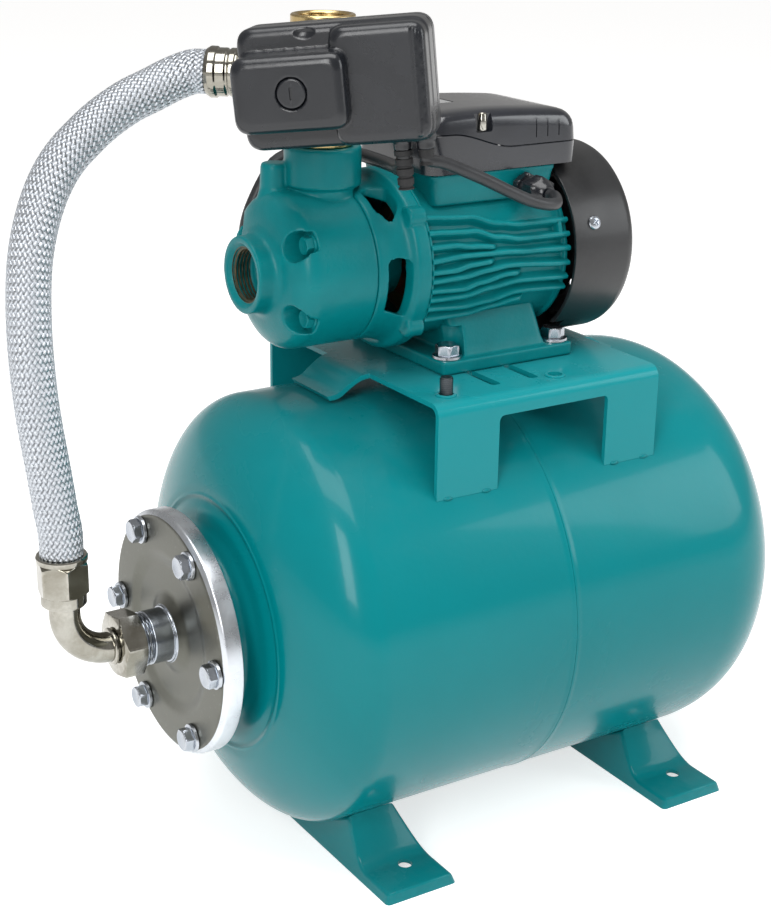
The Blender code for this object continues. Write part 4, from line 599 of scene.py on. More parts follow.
# Mains lead: round three-core flex from the switch, behind the pump and down the far
# side of the tank, put away in a tied coil on the floor, with a moulded two-pin plug.
MAINS_OUTLET = 50
LEAD_RADIUS = 4.0
LEAD_STEP = 4
LEAD_SLEEVE = (22, 5.4, 4.5, 4)
LEAD_ROUTE = (
    (128, -54, 434), (135, -36, 432), (138.5, -14, 431.5), (138.5, 10, 431.5), (131, 31, 431), (118, 44, 429.5),
    (105.4, 50, 423.5), (98.0, 51, 413.5), (92.0, 51.5, 403), (87.4, 52.5, 392), (86, 55, 380), (88.5, 60, 368),
    (95, 66.5, 356), (106, 75, 343.5), (119, 86, 331), (133, 97.5, 318.5), (144, 107.5, 303.5), (151, 117, 285),
    (155, 127.5, 263), (157, 137, 237), (158, 143.5, 206), (158, 147, 172), (157, 150, 138), (156.5, 152, 104),
    (157, 153.5, 72), (160, 155, 43), (167, 157, 21), (180, 158.5, 9.5), (197, 159.5, 5.4), (214, 160, 4.6),
)
COIL_CENTRE = (262, 205)
COIL_OUTER, COIL_INNER = 45.5, 35.0
COIL_TURNS = 3
TURNS_IN_LAYER = 1.3
PLUG = (316.9, 160, 17.5)
PLUG_RINGS = ((-21, 5.0, 5.0), (-19, 6.4, 6.2), (-12, 9.5, 8.6), (-4, 16.0, 14.4), (2, 18.6, 16.6), (8, 19.0, 17.0),
              (15, 18.8, 16.8), (17.6, 18.0, 16.0), (18.4, 16.6, 14.6))
PLUG_POWER = 0.62
PIN_OFFSET, PIN_RADIUS = 9.5, 2.35
TIE_ANGLE = 200
TIE_MIDDLE, TIE_HALF = (40.5, 12.7), (10.9, 10.7)
TIE_WIDTH, TIE_THICK = 2.4, 0.6

start = on_switch(MAINS_OUTLET, SWITCH_LOW - OUTLET_DROP, OUTLET_DEPTH)
route = [start, start - switch_up * 6 * MM] + [spot(*p) for p in LEAD_ROUTE]


def coil_place(turn):
    """Where the lead lies after so many turns: spirals in, climbs a layer, spirals out."""
    layer = min(int(turn / TURNS_IN_LAYER), 2)
    share = turn / TURNS_IN_LAYER - layer
    inwards = layer % 2 == 0
    radius = COIL_OUTER + (COIL_INNER - COIL_OUTER) * (share if inwards else 1 - share)
    climb = max(0.0, (share - 0.86) / 0.14) if layer < 2 else 0.0
    height = LEAD_RADIUS + 0.5 + 8 * (layer + climb * climb * (3 - 2 * climb))
    angle = -math.pi / 2 + 2 * math.pi * turn
    return spot(COIL_CENTRE[0] + radius * math.cos(angle), COIL_CENTRE[1] + radius * math.sin(angle), height)


route += [coil_place(k / 16) for k in range(0, COIL_TURNS * 16 + 1)]
route += [spot(278, 160.5, 19.5), spot(PLUG[0] - 30, PLUG[1], PLUG[2]), spot(PLUG[0] - 21, PLUG[1], PLUG[2])]
lead_line = smooth_route(route, LEAD_STEP * MM)
mesh = as_mesh(swept(lead_line, LEAD_RADIUS * MM, 16))
mesh.materials.append(PVC_FLEX)
mains_lead = dress(put(mesh, "mains_flex", 60), "frame", "black_cable", "mains_lead", "mains_coil")
mesh = as_mesh(relief(start, -switch_up, *LEAD_SLEEVE))
mesh.materials.append(DARK_RUBBER)
lead_sleeve = dress(put(mesh, "lead_sleeve", 50), "frame", "black_cable")


def plug_shape():
    """Rounded plug body, its cable end drawn out, with two round pins."""
    rings = []
    for along, wide, high in PLUG_RINGS:
        ring = []
        for k in range(48):
            turn = 2 * math.pi * k / 48
            c, s = math.cos(turn), math.sin(turn)
            y = wide * math.copysign(abs(c) ** PLUG_POWER, c)
            z = high * math.copysign(abs(s) ** PLUG_POWER, s)
            ring.append(spot(PLUG[0] + along, PLUG[1] + y, PLUG[2] + z))
        rings.append(ring)
    shapes = [ringed(rings)]
    for side in (-1, 1):
        y = PLUG[1] + side * PIN_OFFSET
        line = [spot(PLUG[0] + x, y, PLUG[2]) for x in (17.5, 20, 28, 35.6, 36.8, 37.5)]
        shapes.append(swept(line, [r * MM for r in (PIN_RADIUS,) * 4 + (1.9, 0.9)], 20))
    return as_mesh(*shapes)


plug_mesh = plug_shape()
plug_mesh.materials.append(DARK_RUBBER)
plug = dress(put(plug_mesh, "moulded_plug", 40), "frame", "black_cable", "mains_plug")

angle = math.radians(TIE_ANGLE)
tie_rings = []
for k in range(24):
    turn = 2 * math.pi * k / 24
    across, high = TIE_HALF[0] * math.cos(turn), TIE_MIDDLE[1] + TIE_HALF[1] * math.sin(turn)
    across = math.copysign(abs(across / TIE_HALF[0]) ** 0.6, across) * TIE_HALF[0]
    reach = TIE_MIDDLE[0] + across
    middle = spot(COIL_CENTRE[0] + reach * math.cos(angle), COIL_CENTRE[1] + reach * math.sin(angle), max(high, 0.6))
    sideways = Vector((-math.sin(angle), math.cos(angle), 0)) * TIE_WIDTH * MM
    outward = Vector((math.cos(angle) * math.cos(turn), math.sin(angle) * math.cos(turn),
                      math.sin(turn))) * TIE_THICK * MM
    tie_rings.append([middle - sideways, middle + sideways, middle + sideways + outward, middle - sideways + outward])
mesh = as_mesh(ringed(tie_rings, closed=True))
mesh.materials.append(DARK_RUBBER)
tie = dress(put(mesh, "coil_tie", 50), "frame", "black_cable")


# Pressure tank: two deep-drawn steel shells with 1.5 mm walls, welded round the middle,
# with a flanged neck in front and the air valve's stem at the back. Baked gloss paint.
TANK_RADIUS = 137.5
TANK_WALL = 1.5
NECK_RADIUS = 56.0
RING_RADIUS = 72.3
SEAM_X = 208.0
SEAM_BEAD = 0.5
FRONT_DOME = (76.5, 55.0)
REAR_DOME = (330.0, 80.7)
TEAL = (0.0, 0.226, 0.250, 1)
TEAL_LIGHT = (0.010, 0.350, 0.390, 1)
DUST_GREY = (0.36, 0.35, 0.33, 1)


def eased(points, radius=0.8, closed=False, steps=5):
    """A profile with its corners rounded; a third number on a point is its own reach."""
    out, count = [], len(points)
    for i, point in enumerate(points):
        here = Vector(point[:2])
        if not closed and i in (0, count - 1):
            out.append(tuple(here))
            continue
        before, after = Vector(points[i - 1][:2]) - here, Vector(points[(i + 1) % count][:2]) - here
        reach = min(point[2] if len(point) > 2 else radius, before.length * 0.48, after.length * 0.48)
        if reach < 0.03:
            out.append(tuple(here))
            continue
        a, b = here + before.normalized() * reach, here + after.normalized() * reach
        for k in range(steps + 1):
            t = k / steps
            out.append(tuple(a * (1 - t) ** 2 + here * 2 * t * (1 - t) + b * t * t))
    return out


def square_to(axis):
    axis = Vector(axis).normalized()
    first = (Vector((0, 0, 1)) if abs(axis.z) < 0.9 else Vector((1, 0, 0))).cross(axis).normalized()
    return axis, first, axis.cross(first)


def turned(profile, base, axis=(1, 0, 0), segs=96, flats=0.0, phase=0.0):
    """Revolves (along, radius) millimetres about an axis; an end at radius 0 closes to a point,
    and otherwise the last ring joins the first. With flats, the points that carry a third
    number are held inside a hexagon of that width, which leaves a nut's chamfers."""
    axis, first, second = square_to(axis)
    bm = bmesh.new()
    rows = []
    for point in profile:
        middle = base + axis * point[0] * MM
        if point[1] < 1e-4:
            rows.append([bm.verts.new(middle)])
            continue
        row = []
        for i in range(segs):
            turn = phase + 2 * math.pi * i / segs
            radius = point[1]
            if flats and len(point) > 2:
                off = (2 * math.pi * i / segs + math.pi / 6) % (math.pi / 3) - math.pi / 6
                radius = min(radius, flats / 2 / math.cos(off))
            row.append(bm.verts.new(middle + (first * math.cos(turn) + second * math.sin(turn)) * radius * MM))
        rows.append(row)
    pairs = list(zip(rows, rows[1:]))
    if len(rows[0]) > 1 and len(rows[-1]) > 1:
        pairs.append((rows[-1], rows[0]))
    for a, b in pairs:
        for i in range(segs):
            j = (i + 1) % segs
            if len(a) == 1 and len(b) == 1:
                continue
            if len(a) == 1:
                bm.faces.new((a[0], b[j], b[i]))
            elif len(b) == 1:
                bm.faces.new((a[i], a[j], b[0]))
            else:
                bm.faces.new((a[i], a[j], b[j], b[i]))
    bmesh.ops.recalc_face_normals(bm, faces=bm.faces)
    return bm


def piece(name, shapes, paint, body, slot, stands_for=(), sharp=40):
    """A finished piece from bmeshes, in one material, riding on its body."""
    mesh = as_mesh(*shapes)
    mesh.materials.append(paint)
    return dress(put(mesh, name, sharp), body, slot, *stands_for)


def ripple_group():
    """Sprayed paint's orange peel over a faint drag of the draw die, as a normal."""
    graph, given, result = group_tree("paint_ripple", [("Scale", "Float", 240.0), ("Strength", "Float", 0.16),
                                                       ("Distance", "Float", 0.0006)], [("Normal", "Vector")])
    place = graph.add("ShaderNodeTexCoord").outputs["Object"]
    peel = graph.add("ShaderNodeTexNoise", {"Vector": place, "Scale": given["Scale"], "Detail": 2.0, "Roughness": 0.4})
    slow = graph.add("ShaderNodeTexNoise", {"Vector": place, "Scale": 11.0, "Detail": 1.0})
    height = graph.math("ADD", peel.outputs["Fac"], graph.math("MULTIPLY", slow.outputs["Fac"], 2.2))
    bump = graph.add("ShaderNodeBump",
                     {"Height": height, "Strength": given["Strength"], "Distance": given["Distance"]})
    graph.link(bump.outputs[0], result.inputs["Normal"])
    return graph.tree


def dust_group():
    """Dust on upward faces, thicker in patches, and gathered where the piece is hollow."""
    graph, given, result = group_tree("settled_dust", [("Scale", "Float", 45.0), ("Amount", "Float", 0.3)],
                                      [("Mask", "Float")])
    geometry = graph.add("ShaderNodeNewGeometry").outputs
    place = graph.add("ShaderNodeTexCoord").outputs["Object"]
    up = graph.math("MAXIMUM", graph.add("ShaderNodeSeparateXYZ", {0: geometry["Normal"]}).outputs[2], 0.0)
    noise = graph.add("ShaderNodeTexNoise",
                      {"Vector": place, "Scale": given["Scale"], "Detail": 6.0, "Roughness": 0.7})
    patch = graph.add("ShaderNodeMapRange",
                      {"Value": noise.outputs["Fac"], "From Min": 0.42, "From Max": 0.75}).outputs[0]
    hollow = graph.add("ShaderNodeMapRange",
                       {"Value": geometry["Pointiness"], "From Min": 0.50, "From Max": 0.42}).outputs[0]
    fallen = graph.math("MULTIPLY", graph.math("POWER", up, 3.0),
                        graph.math("ADD", graph.math("MULTIPLY", patch, 0.8), 0.2))
    whole = graph.math("MULTIPLY", graph.math("ADD", fallen, graph.math("MULTIPLY", hollow, 0.5)), given["Amount"],
                       True)
    graph.link(whole, result.inputs["Mask"])
    return graph.tree


RIPPLE = ripple_group()
DUST = dust_group()


def dusted(graph, scale, amount):
    return placed(graph, DUST, {"Scale": scale, "Amount": amount})["Mask"]


def teal_gloss():
    """Baked teal gloss: clear coat over paint, a little uneven, rubbed lighter at edges."""
    made, graph, shader = bare_material("teal_gloss")
    smear = smears(graph, 7.0, 0.20, 0.30)
    rub = rubbed(graph, 0.56, 0.70, 220.0)
    dust = dusted(graph, 30.0, 0.07)
    shade = blend(graph, smear["Mask"], TEAL, (0.0, 0.206, 0.228, 1))
    shade = blend(graph, graph.math("MULTIPLY", rub, 0.5), shade, TEAL_LIGHT)
    shade = blend(graph, dust, shade, DUST_GREY)
    graph.link(shade, shader.inputs["Base Color"])
    graph.link(graph.math("ADD", smear["Value"], graph.math("MULTIPLY", dust, 0.5)), shader.inputs["Roughness"])
    graph.link(placed(graph, RIPPLE, {"Scale": 260.0, "Strength": 0.10, "Distance": 0.0005})["Normal"],
               shader.inputs["Normal"])
    shader.inputs["Specular IOR Level"].default_value = 0.13
    shader.inputs["Coat Weight"].default_value = 0.17
    shader.inputs["Coat Roughness"].default_value = 0.08
    return made


TEAL_GLOSS = teal_gloss()


def dome(place, depth, radius, start, end, steps, power=1.0):
    """Points of a pressed end from one angle to another, in degrees from its rim."""
    out = []
    for k in range(steps + 1):
        turn = math.radians(start + (end - start) * k / steps)
        out.append((place + depth * math.sin(turn) ** power, radius * max(math.cos(turn), 0.0) ** power))
    return out


tank_axis = spot(0, 0, TANK_Z)
outer = [(SEAM_X - 0.15, TANK_RADIUS + SEAM_BEAD * 0.6), (SEAM_X - 1.2, TANK_RADIUS + SEAM_BEAD * 0.55)]
outer += [(SEAM_X - 2.4, TANK_RADIUS + 0.1), (SEAM_X - 3.4, TANK_RADIUS), (SEAM_X - 4.4, TANK_RADIUS),
          (150, TANK_RADIUS)]
outer += dome(FRONT_DOME[0], -FRONT_DOME[1], TANK_RADIUS, 0, 51.6, 36)
swage = [(33.0, 81.9), (32.2, 80.2, 0.8), (33.3, 77.6, 1.2), (30.6, 71.6, 2.5), (29.4, 62.5, 3),
         (25.0, NECK_RADIUS, 2.5)]
swage += [(12.4, NECK_RADIUS, 0.5), (12.0, RING_RADIUS, 0.7), (6.0, RING_RADIUS, 0.7), (6.0, NECK_RADIUS - TANK_WALL)]
swage += [(26.0, NECK_RADIUS - TANK_WALL, 2), (31.6, 64.0, 2), (35.6, 78.0, 2)]
inner = dome(FRONT_DOME[0], -(FRONT_DOME[1] - TANK_WALL), TANK_RADIUS - TANK_WALL, 46, 0, 14)
profile = outer + eased([outer[-1]] + swage + [inner[0]])[1:-1] + inner + [(SEAM_X - 0.15, TANK_RADIUS - TANK_WALL)]
piece("tank_front", [turned(profile, tank_axis, segs=224)], TEAL_GLOSS, "frame", "teal_paint", ["tank_front_shell"],
      50)

outer = [(SEAM_X + 0.15, TANK_RADIUS + SEAM_BEAD * 0.6), (SEAM_X + 1.0, TANK_RADIUS + SEAM_BEAD),
         (SEAM_X + 2.6, TANK_RADIUS + 0.15)]
outer += [(SEAM_X + 3.8, TANK_RADIUS), (SEAM_X + 4.8, TANK_RADIUS), (270, TANK_RADIUS)] + dome(*REAR_DOME, TANK_RADIUS,
                                                                                               0.4, 87.5, 52, 0.8)
inner = dome(REAR_DOME[0], REAR_DOME[1] - TANK_WALL, TANK_RADIUS - TANK_WALL, 87.5, 0, 20, 0.8)
profile = outer + inner + [(SEAM_X + 0.15, TANK_RADIUS - TANK_WALL)]
piece("tank_rear", [turned(profile, tank_axis, segs=224)], TEAL_GLOSS, "frame", "teal_paint", ["tank_rear_shell"], 50)


# Counter-flange: turned from zinc-plated steel, with its water nipple. A rim in a lighter
# copy of the zinc, a painted highlight, a matt dished face and a fine thread for the swivel nut.
FLANGE_RADIUS = 76.2
NIPPLE_RADIUS = 16.6
NIPPLE_BORE = 12.5
THREAD_PITCH = 2.3


def threaded(start, end, minor, major, pitch, base, axis=(1, 0, 0), bore=None, segs=72):
    """A rounded vee thread as a closed sleeve, faded out at both ends; a bore makes it hollow,
    and a major radius under the minor one cuts the thread inwards."""
    axis, first, second = square_to(axis)
    rings = []
    steps = round((end - start) / pitch * 14)
    for k in range(steps + 1):
        along = start + (end - start) * k / steps
        fade = min(1.0, (along - start) / (pitch * 0.6), (end - along) / (pitch * 0.6))
        ring = []
        for i in range(segs):
            turn = 2 * math.pi * i / segs
            share = (along / pitch - i / segs) % 1.0
            crest = min(1.0, max(0.0, 1.45 - abs(share - 0.5) * 4.4))
            crest = crest * crest * (3 - 2 * crest)
            radius = minor + (major - minor) * crest * max(fade, 0.0)
            ring.append(base + axis * along * MM + (first * math.cos(turn) + second * math.sin(turn)) * radius * MM)
        rings.append(ring)
    if bore is None:
        return ringed(rings)
    for along in (end, start):
        rings.append([base + axis * along * MM + (first * math.cos(2 * math.pi * i / segs)
                                                  + second * math.sin(2 * math.pi * i / segs)) * bore * MM
                      for i in range(segs)])
    return ringed(rings, closed=True)


def lines_group():
    """Fine turning lines round an X or Z axis: a ripple with the radius or the height."""
    graph, given, result = group_tree("tool_lines", [("Centre", "Vector", None), ("Axis", "Vector", None),
                                                     ("Pitch", "Float", 0.0004),
                                                     ("Strength", "Float", 0.2)],
                                      [("Normal", "Vector"), ("Value", "Float")])
    place = graph.add("ShaderNodeTexCoord").outputs["Object"]
    from_centre = graph.vector("SUBTRACT", place, given["Centre"])
    along = graph.add("ShaderNodeVectorMath", {0: from_centre, 1: given["Axis"]},
                      operation="DOT_PRODUCT").outputs["Value"]
    whole = graph.add("ShaderNodeVectorMath", {0: from_centre}, operation="LENGTH").outputs["Value"]
    radius = graph.math("SQRT", graph.math("MAXIMUM", graph.math("SUBTRACT", graph.math("MULTIPLY", whole, whole),
                                                                 graph.math("MULTIPLY", along, along)), 0.0))
    run = graph.math("DIVIDE", graph.math("ADD", radius, along), given["Pitch"])
    point = graph.add("ShaderNodeCombineXYZ", {"X": run}).outputs[0]
    noise = graph.add("ShaderNodeTexNoise", {"Vector": point, "Scale": 1.0, "Detail": 3.0})
    bump = graph.add("ShaderNodeBump",
                     {"Height": noise.outputs["Fac"], "Strength": given["Strength"], "Distance": 0.00008})
    graph.link(bump.outputs[0], result.inputs["Normal"])
    graph.link(noise.outputs["Fac"], result.inputs["Value"])
    return graph.tree


TOOL_LINES = lines_group()


def plated(name, dark, light, gloss, centre, axis, lines, edge=(0.66, 0.68, 0.71, 1)):
    """Plated or bare turned metal: shade and gloss wander, edges brighter, lines from the tool."""
    made, graph, shader = bare_material(name)
    smear = smears(graph, 42.0, gloss[0], gloss[1])
    rub = rubbed(graph, 0.52, 0.62, 500.0)
    turning = placed(graph, TOOL_LINES, {"Centre": centre, "Axis": axis, "Pitch": 0.0005, "Strength": lines})
    shade = blend(graph, smear["Mask"], dark, light)
    shade = blend(graph, graph.math("MULTIPLY", turning["Value"], 0.25), shade, dark)
    shade = blend(graph, graph.math("MULTIPLY", rub, 0.6), shade, edge)
    graph.link(shade, shader.inputs["Base Color"])
    graph.link(smear["Value"], shader.inputs["Roughness"])
    graph.link(turning["Normal"], shader.inputs["Normal"])
    shader.inputs["Metallic"].default_value = 1.0
    return made


SATIN_ZINC = plated("satin_zinc", (0.122, 0.123, 0.105, 1), (0.165, 0.167, 0.145, 1), (0.36, 0.46), tank_axis,
                    (1, 0, 0), 0.35)
# The rim's zinc is the same plating as the face, painted much lighter as a highlight.
RIM_HIGHLIGHT_ZINC = plated("rim_zinc_painted_highlight", (0.56, 0.59, 0.63, 1), (0.76, 0.79, 0.83, 1), (0.24, 0.36), tank_axis, (1, 0, 0), 0.20)
BRIGHT_ZINC = plated("bright_zinc", (0.34, 0.37, 0.41, 1), (0.50, 0.53, 0.58, 1), (0.18, 0.30), tank_axis, (1, 0, 0),
                     0.10)
profile = [(-15.4, NIPPLE_RADIUS - 0.6), (-14.8, NIPPLE_RADIUS, 0.4), (-2.9, NIPPLE_RADIUS, 0.3),
           (-2.7, NIPPLE_RADIUS + 0.9, 0.3),
           (-1.6, NIPPLE_RADIUS + 1.2, 0.5), (2.4, 25.6, 2.5), (2.5, 43.5, 2.0),
           (0.0, 51.5, 2.0), (0.0, FLANGE_RADIUS - 3.5, 1.4), (2.4, FLANGE_RADIUS, 1.2), (12.5, FLANGE_RADIUS, 0.5),
           (12.5, FLANGE_RADIUS - 2.6, 0.5), (3.0, FLANGE_RADIUS - 3.4), (3.0, 51.5), (5.6, 46.0), (5.6, 30.0),
           (3.0, NIPPLE_BORE),
           (-15.4, NIPPLE_BORE)]
shapes = [turned(eased(profile, 0.4, True), tank_axis, segs=160)]
shapes.append(threaded(-28, -15.0, NIPPLE_RADIUS - 1.2, NIPPLE_RADIUS, THREAD_PITCH, tank_axis, bore=NIPPLE_BORE))
flange = as_mesh(*shapes)
flange.materials.append(SATIN_ZINC)
flange.materials.append(RIM_HIGHLIGHT_ZINC)
flange.materials.append(BRIGHT_ZINC)
# Faces at the rim take the painted-highlight zinc; faces on the nipple take the bright zinc.
for face in flange.polygons:
    out = face.center - tank_axis
    reach = math.hypot(out.y, out.z)
    face.material_index = 1 if reach > (FLANGE_RADIUS - 2.8) * MM else 2 if out.x < -1.4 * MM else 0
dress(put(flange, "counter_flange_face", 35), "frame", "zinc_plate", "counter_flange")


# Flange bolts: six M8 flanged hexagon bolts, bright zinc, through the counter-flange
# into the tank's clamp ring. One head is drawn and set round the circle.
BOLT_CIRCLE = 65.4
BOLT_FLATS = 13.0
BOLT_TURN = 12
WASHER_RADIUS = 8.8


def chamfer(first, last, steps=8):
    """The cone that takes a hexagon's corners off, in rings close enough to show its curve."""
    return [(first[0] + (last[0] - first[0]) * k / steps, first[1] + (last[1] - first[1]) * k / steps, 1)
            for k in range(steps + 1)]


def bolt_head(flats, washer, height, skirt, shank, shank_length, segs=48):
    """A flanged hexagon head along +Z from its bearing face, with its shank below it."""
    outline = [(-shank_length, 0), (-shank_length, shank - 0.6), (-shank_length + 0.6, shank), (0, shank),
               (0, washer - 0.3),
               (0.25, washer), (skirt - 0.5, washer - 0.2), (skirt, flats * 0.59), (skirt + 0.01, flats * 0.60, 1)]
    outline += chamfer((height - 0.9, flats * 0.58), (height, flats * 0.475), 5)
    outline += [(height - 0.05, flats * 0.40), (height - 0.35, flats * 0.34), (height - 0.35, 0)]
    return turned(outline, Vector(), (0, 0, 1), segs, flats)


def bolt_tree():
    """Sets one bolt on every point of a wire, turned about its own axis by an attribute."""
    graph, given, result = group_tree("bolt_pattern", [("Geometry", "Geometry", None), ("Bolt", "Object", None),
                                                       ("Axis", "Vector", None), ("Paint", "Material", None)],
                                      [("Geometry", "Geometry")], "GeometryNodeTree")
    points = graph.add("GeometryNodeMeshToPoints", {"Mesh": given["Geometry"]}).outputs[0]
    source = graph.add("GeometryNodeObjectInfo", {"Object": given["Bolt"]}).outputs["Geometry"]
    turn = graph.add("GeometryNodeInputNamedAttribute", {"Name": "turn"}, data_type="FLOAT").outputs[0]
    aimed = graph.add("FunctionNodeAlignRotationToVector", {"Vector": given["Axis"]}, axis="Z").outputs[0]
    spin = graph.add("FunctionNodeAxisAngleToRotation", {"Axis": (0, 0, 1), "Angle": turn}).outputs[0]
    both = graph.add("FunctionNodeRotateRotation", {"Rotation": aimed, "Rotate By": spin},
                     rotation_space="LOCAL").outputs[0]
    laid = graph.add("GeometryNodeInstanceOnPoints",
                     {"Points": points, "Instance": source, "Rotation": both}).outputs[0]
    whole = graph.add("GeometryNodeRealizeInstances", {"Geometry": laid}).outputs[0]
    whole = graph.add("GeometryNodeSetMaterial", {"Geometry": whole, "Material": given["Paint"]}).outputs[0]
    graph.link(whole, result.inputs[0])
    return graph


BOLT_PATTERN = bolt_tree()


def bolt_set(name, head, places, turns, axis, paint, body, slot, stands_for, sharp=35):
    """One piece made of the same bolt at several places, from the bolt pattern tree."""
    pattern = put(as_mesh(head), "bolt_source")
    wires = wire(name + "_points", [[p] for p in places])
    turned_by = wires.data.attributes.new("turn", "FLOAT", "POINT")
    for i, turn in enumerate(turns):
        turned_by.data[i].value = turn
    made = grown(wires, BOLT_PATTERN, {"Bolt": pattern, "Axis": axis, "Paint": paint}, name, sharp)
    bpy.data.objects.remove(pattern, do_unlink=True)
    return dress(made, body, slot, *stands_for)


places, turns = [], []
for k in range(6):
    turn = math.radians(60 * k)
    places.append(spot(-0.3, BOLT_CIRCLE * math.cos(turn), TANK_Z + BOLT_CIRCLE * math.sin(turn)))
    turns.append(math.radians(BOLT_TURN * k))
bolt_set("flange_bolt_heads", bolt_head(BOLT_FLATS, WASHER_RADIUS, 7.8, 2.3, 3.9, 5.5), places, turns, (-1, 0, 0),
         BRIGHT_ZINC,
         "frame", "bright_zinc", [f"flange_bolt_{k + 1}" for k in range(6)])


# Hose ends: a swivel nut and a cast elbow on the tank's nipple, a ferrule crimped on the
# braid, and the nut and ferrule at the fitting. Nickel-plated brass throughout.
NUT_ENDS = (-35.8, -21.2)
NUT_FLATS = 37.0
ELBOW_RADIUS = 9.3
ELBOW_BEND = 28.0
FERRULE_LOW = 187.0
FERRULE_FLATS = 27.2
UPPER_FLATS = 34.0
NICKEL_DARK = (0.235, 0.220, 0.180, 1)
NICKEL_LIGHT = (0.42, 0.41, 0.37, 1)

NICKEL = plated("nickel_plate", NICKEL_DARK, NICKEL_LIGHT, (0.08, 0.16), spot(ELBOW_X, 0, TANK_Z), (1, 0, 0), 0.03,
                (0.62, 0.60, 0.55, 1))
half = NUT_FLATS / 2
profile = [(NUT_ENDS[0], ELBOW_RADIUS + 0.4)] + chamfer((NUT_ENDS[0], half * 0.95), (NUT_ENDS[0] + 1.6, half * 1.16))
profile += chamfer((NUT_ENDS[1] - 1.2, half * 1.16), (NUT_ENDS[1], half * 0.97)) + [(NUT_ENDS[1], NIPPLE_RADIUS + 0.8)]
profile += [(NUT_ENDS[1] - 0.8, NIPPLE_RADIUS + 0.3), (-32.8, NIPPLE_RADIUS + 0.3), (-32.8, ELBOW_RADIUS + 0.4)]
piece("swivel_nut_hex", [turned(profile, tank_axis, (1, 0, 0), 144, NUT_FLATS, math.radians(19))], NICKEL,
      "swivel_nut_body",
      "nickel_plate", ["swivel_nut"], 30)

line = [spot(ELBOW_X, 0, FERRULE_LOW - 0.3)]
line += [spot(ELBOW_X + ELBOW_BEND * (1 - math.cos(a)), 0, TANK_Z + ELBOW_BEND * (1 - math.sin(a)))
         for a in [math.radians(5 * k) for k in range(19)]]
line.append(spot(-28.3, 0, TANK_Z))
bead = [(-39.0, ELBOW_RADIUS - 0.6), (-38.8, 10.6), (-38.2, 11.4), (-37.2, 11.4), (-36.6, 10.6),
        (-36.4, ELBOW_RADIUS - 0.6)]
piece("elbow_tube", [swept(line, ELBOW_RADIUS * MM, 48), turned(bead, tank_axis, segs=72)], NICKEL, "frame",
      "nickel_plate",
      ["hose_elbow"], 50)

base = spot(ELBOW_X, 0, FERRULE_LOW)
profile = [(0, 0), (0, 13.0), (0.8, 13.5), (6.6, 13.5)] + chamfer((6.7, 13.5), (8.4, 15.75)) + chamfer((24.8, 15.75),
                                                                                                       (26.6, 13.7))
profile += [(27.3, 14.9), (28.2, 15.25), (30.2, 15.25), (31.0, 14.6), (31.0, 12.0), (30.4, 0)]
shapes = [turned(profile, base, (0, 0, 1), 96, FERRULE_FLATS, math.radians(20))]
piece("lower_crimp", shapes, NICKEL, "frame", "nickel_plate", ["lower_ferrule"], 30)

half = UPPER_FLATS / 2
profile = [(24.0, 14.4)] + chamfer((24.0, half * 0.95), (25.6, half * 1.16)) + chamfer((37.4, half * 1.16),
                                                                                       (39.0, half * 0.95))
profile.append((39.0, 14.4))
piece("upper_nut_hex", [turned(profile, hose_root, hose_way, 120, UPPER_FLATS, math.radians(10))], NICKEL,
      "hose_nut_body",
      "nickel_plate", ["upper_hose_nut"], 30)
profile = [(39.3, 0), (39.3, 11.9), (40.0, 12.5), (42.6, 12.5), (43.2, 13.3), (43.6, 14.1), (48.0, 14.1), (48.8, 13.4),
           (49.8, 13.4),
           (50.6, 14.1), (53.4, 14.1), (54.2, 13.4), (55.2, 13.4), (56.0, 14.1), (61.0, 14.1), (62.0, 14.9),
           (65.6, 15.0), (66.6, 14.4),
           (68.0, 13.6), (68.0, 12.6), (67.0, 0)]
piece("upper_crimp", [turned(eased(profile, 0.3), hose_root, hose_way, 96)], NICKEL, "frame", "nickel_plate",
      ["upper_ferrule"], 40)


# Tank feet: pressed sheet channels welded under the tank, open below, with their flat
# pads rolled out at both sides and a hole in each for the floor bolt. Painted with the tank.
FOOT_STARTS = (83.0, 301.6)
FOOT_LENGTH = 50.8
FOOT_REACH = 124.7
FOOT_PAD = 8.0
FOOT_SHEET = 2.5
FOOT_HOLE = (27.9, 100.8, 4.5)
FOOT_LEAN = (0.05, -0.44)


def foot_outline(inset, low):
    """Half section as (y, z), from the pad's end up the flare to the tank, then mirrored."""
    pad = FOOT_PAD - inset
    reach = TANK_RADIUS + 0.3 + inset
    half = [(FOOT_REACH - inset, low), (FOOT_REACH - inset, pad, 1.6), (96.0, pad, 4),
            (90.5 - inset * 0.6, pad + 3.5, 4),
            (85.5 - inset, pad + 10.5, 4), (80 - inset, pad + 20, 4)]
    y = 76 - inset
    half.append((y, TANK_Z - math.sqrt(reach ** 2 - y * y)))
    half = eased(half, 1.5)
    for k in range(1, 15):
        across = y * (1 - k / 14)
        half.append((across, TANK_Z - math.sqrt(reach ** 2 - across ** 2)))
    return half + [(-a, b) for a, b in half[-2::-1]]


def foot_channel(start, inset, low, round_by):
    """The channel's outside or inside as a solid, its ends rounded into the webs."""
    rings = []
    for end, way in ((0, 1), (1, -1)):
        turns = range(4) if way > 0 else range(3, -1, -1)
        for k in turns:
            turn = math.pi / 6 * k
            share = 1 - math.sin(turn)
            along = round_by * (1 - math.cos(turn)) if round_by else inset
            x = start + FOOT_LENGTH * end + way * (along + inset)
            outline = foot_outline(inset + round_by * share, low)
            rings.append([spot(x + FOOT_LEAN[end] * z, y, z) for y, z in outline])
    return ringed(rings)


def worked(made):
    """The mesh of an object with its modifiers worked in."""
    depsgraph = bpy.context.evaluated_depsgraph_get()
    return bpy.data.meshes.new_from_object(made.evaluated_get(depsgraph))


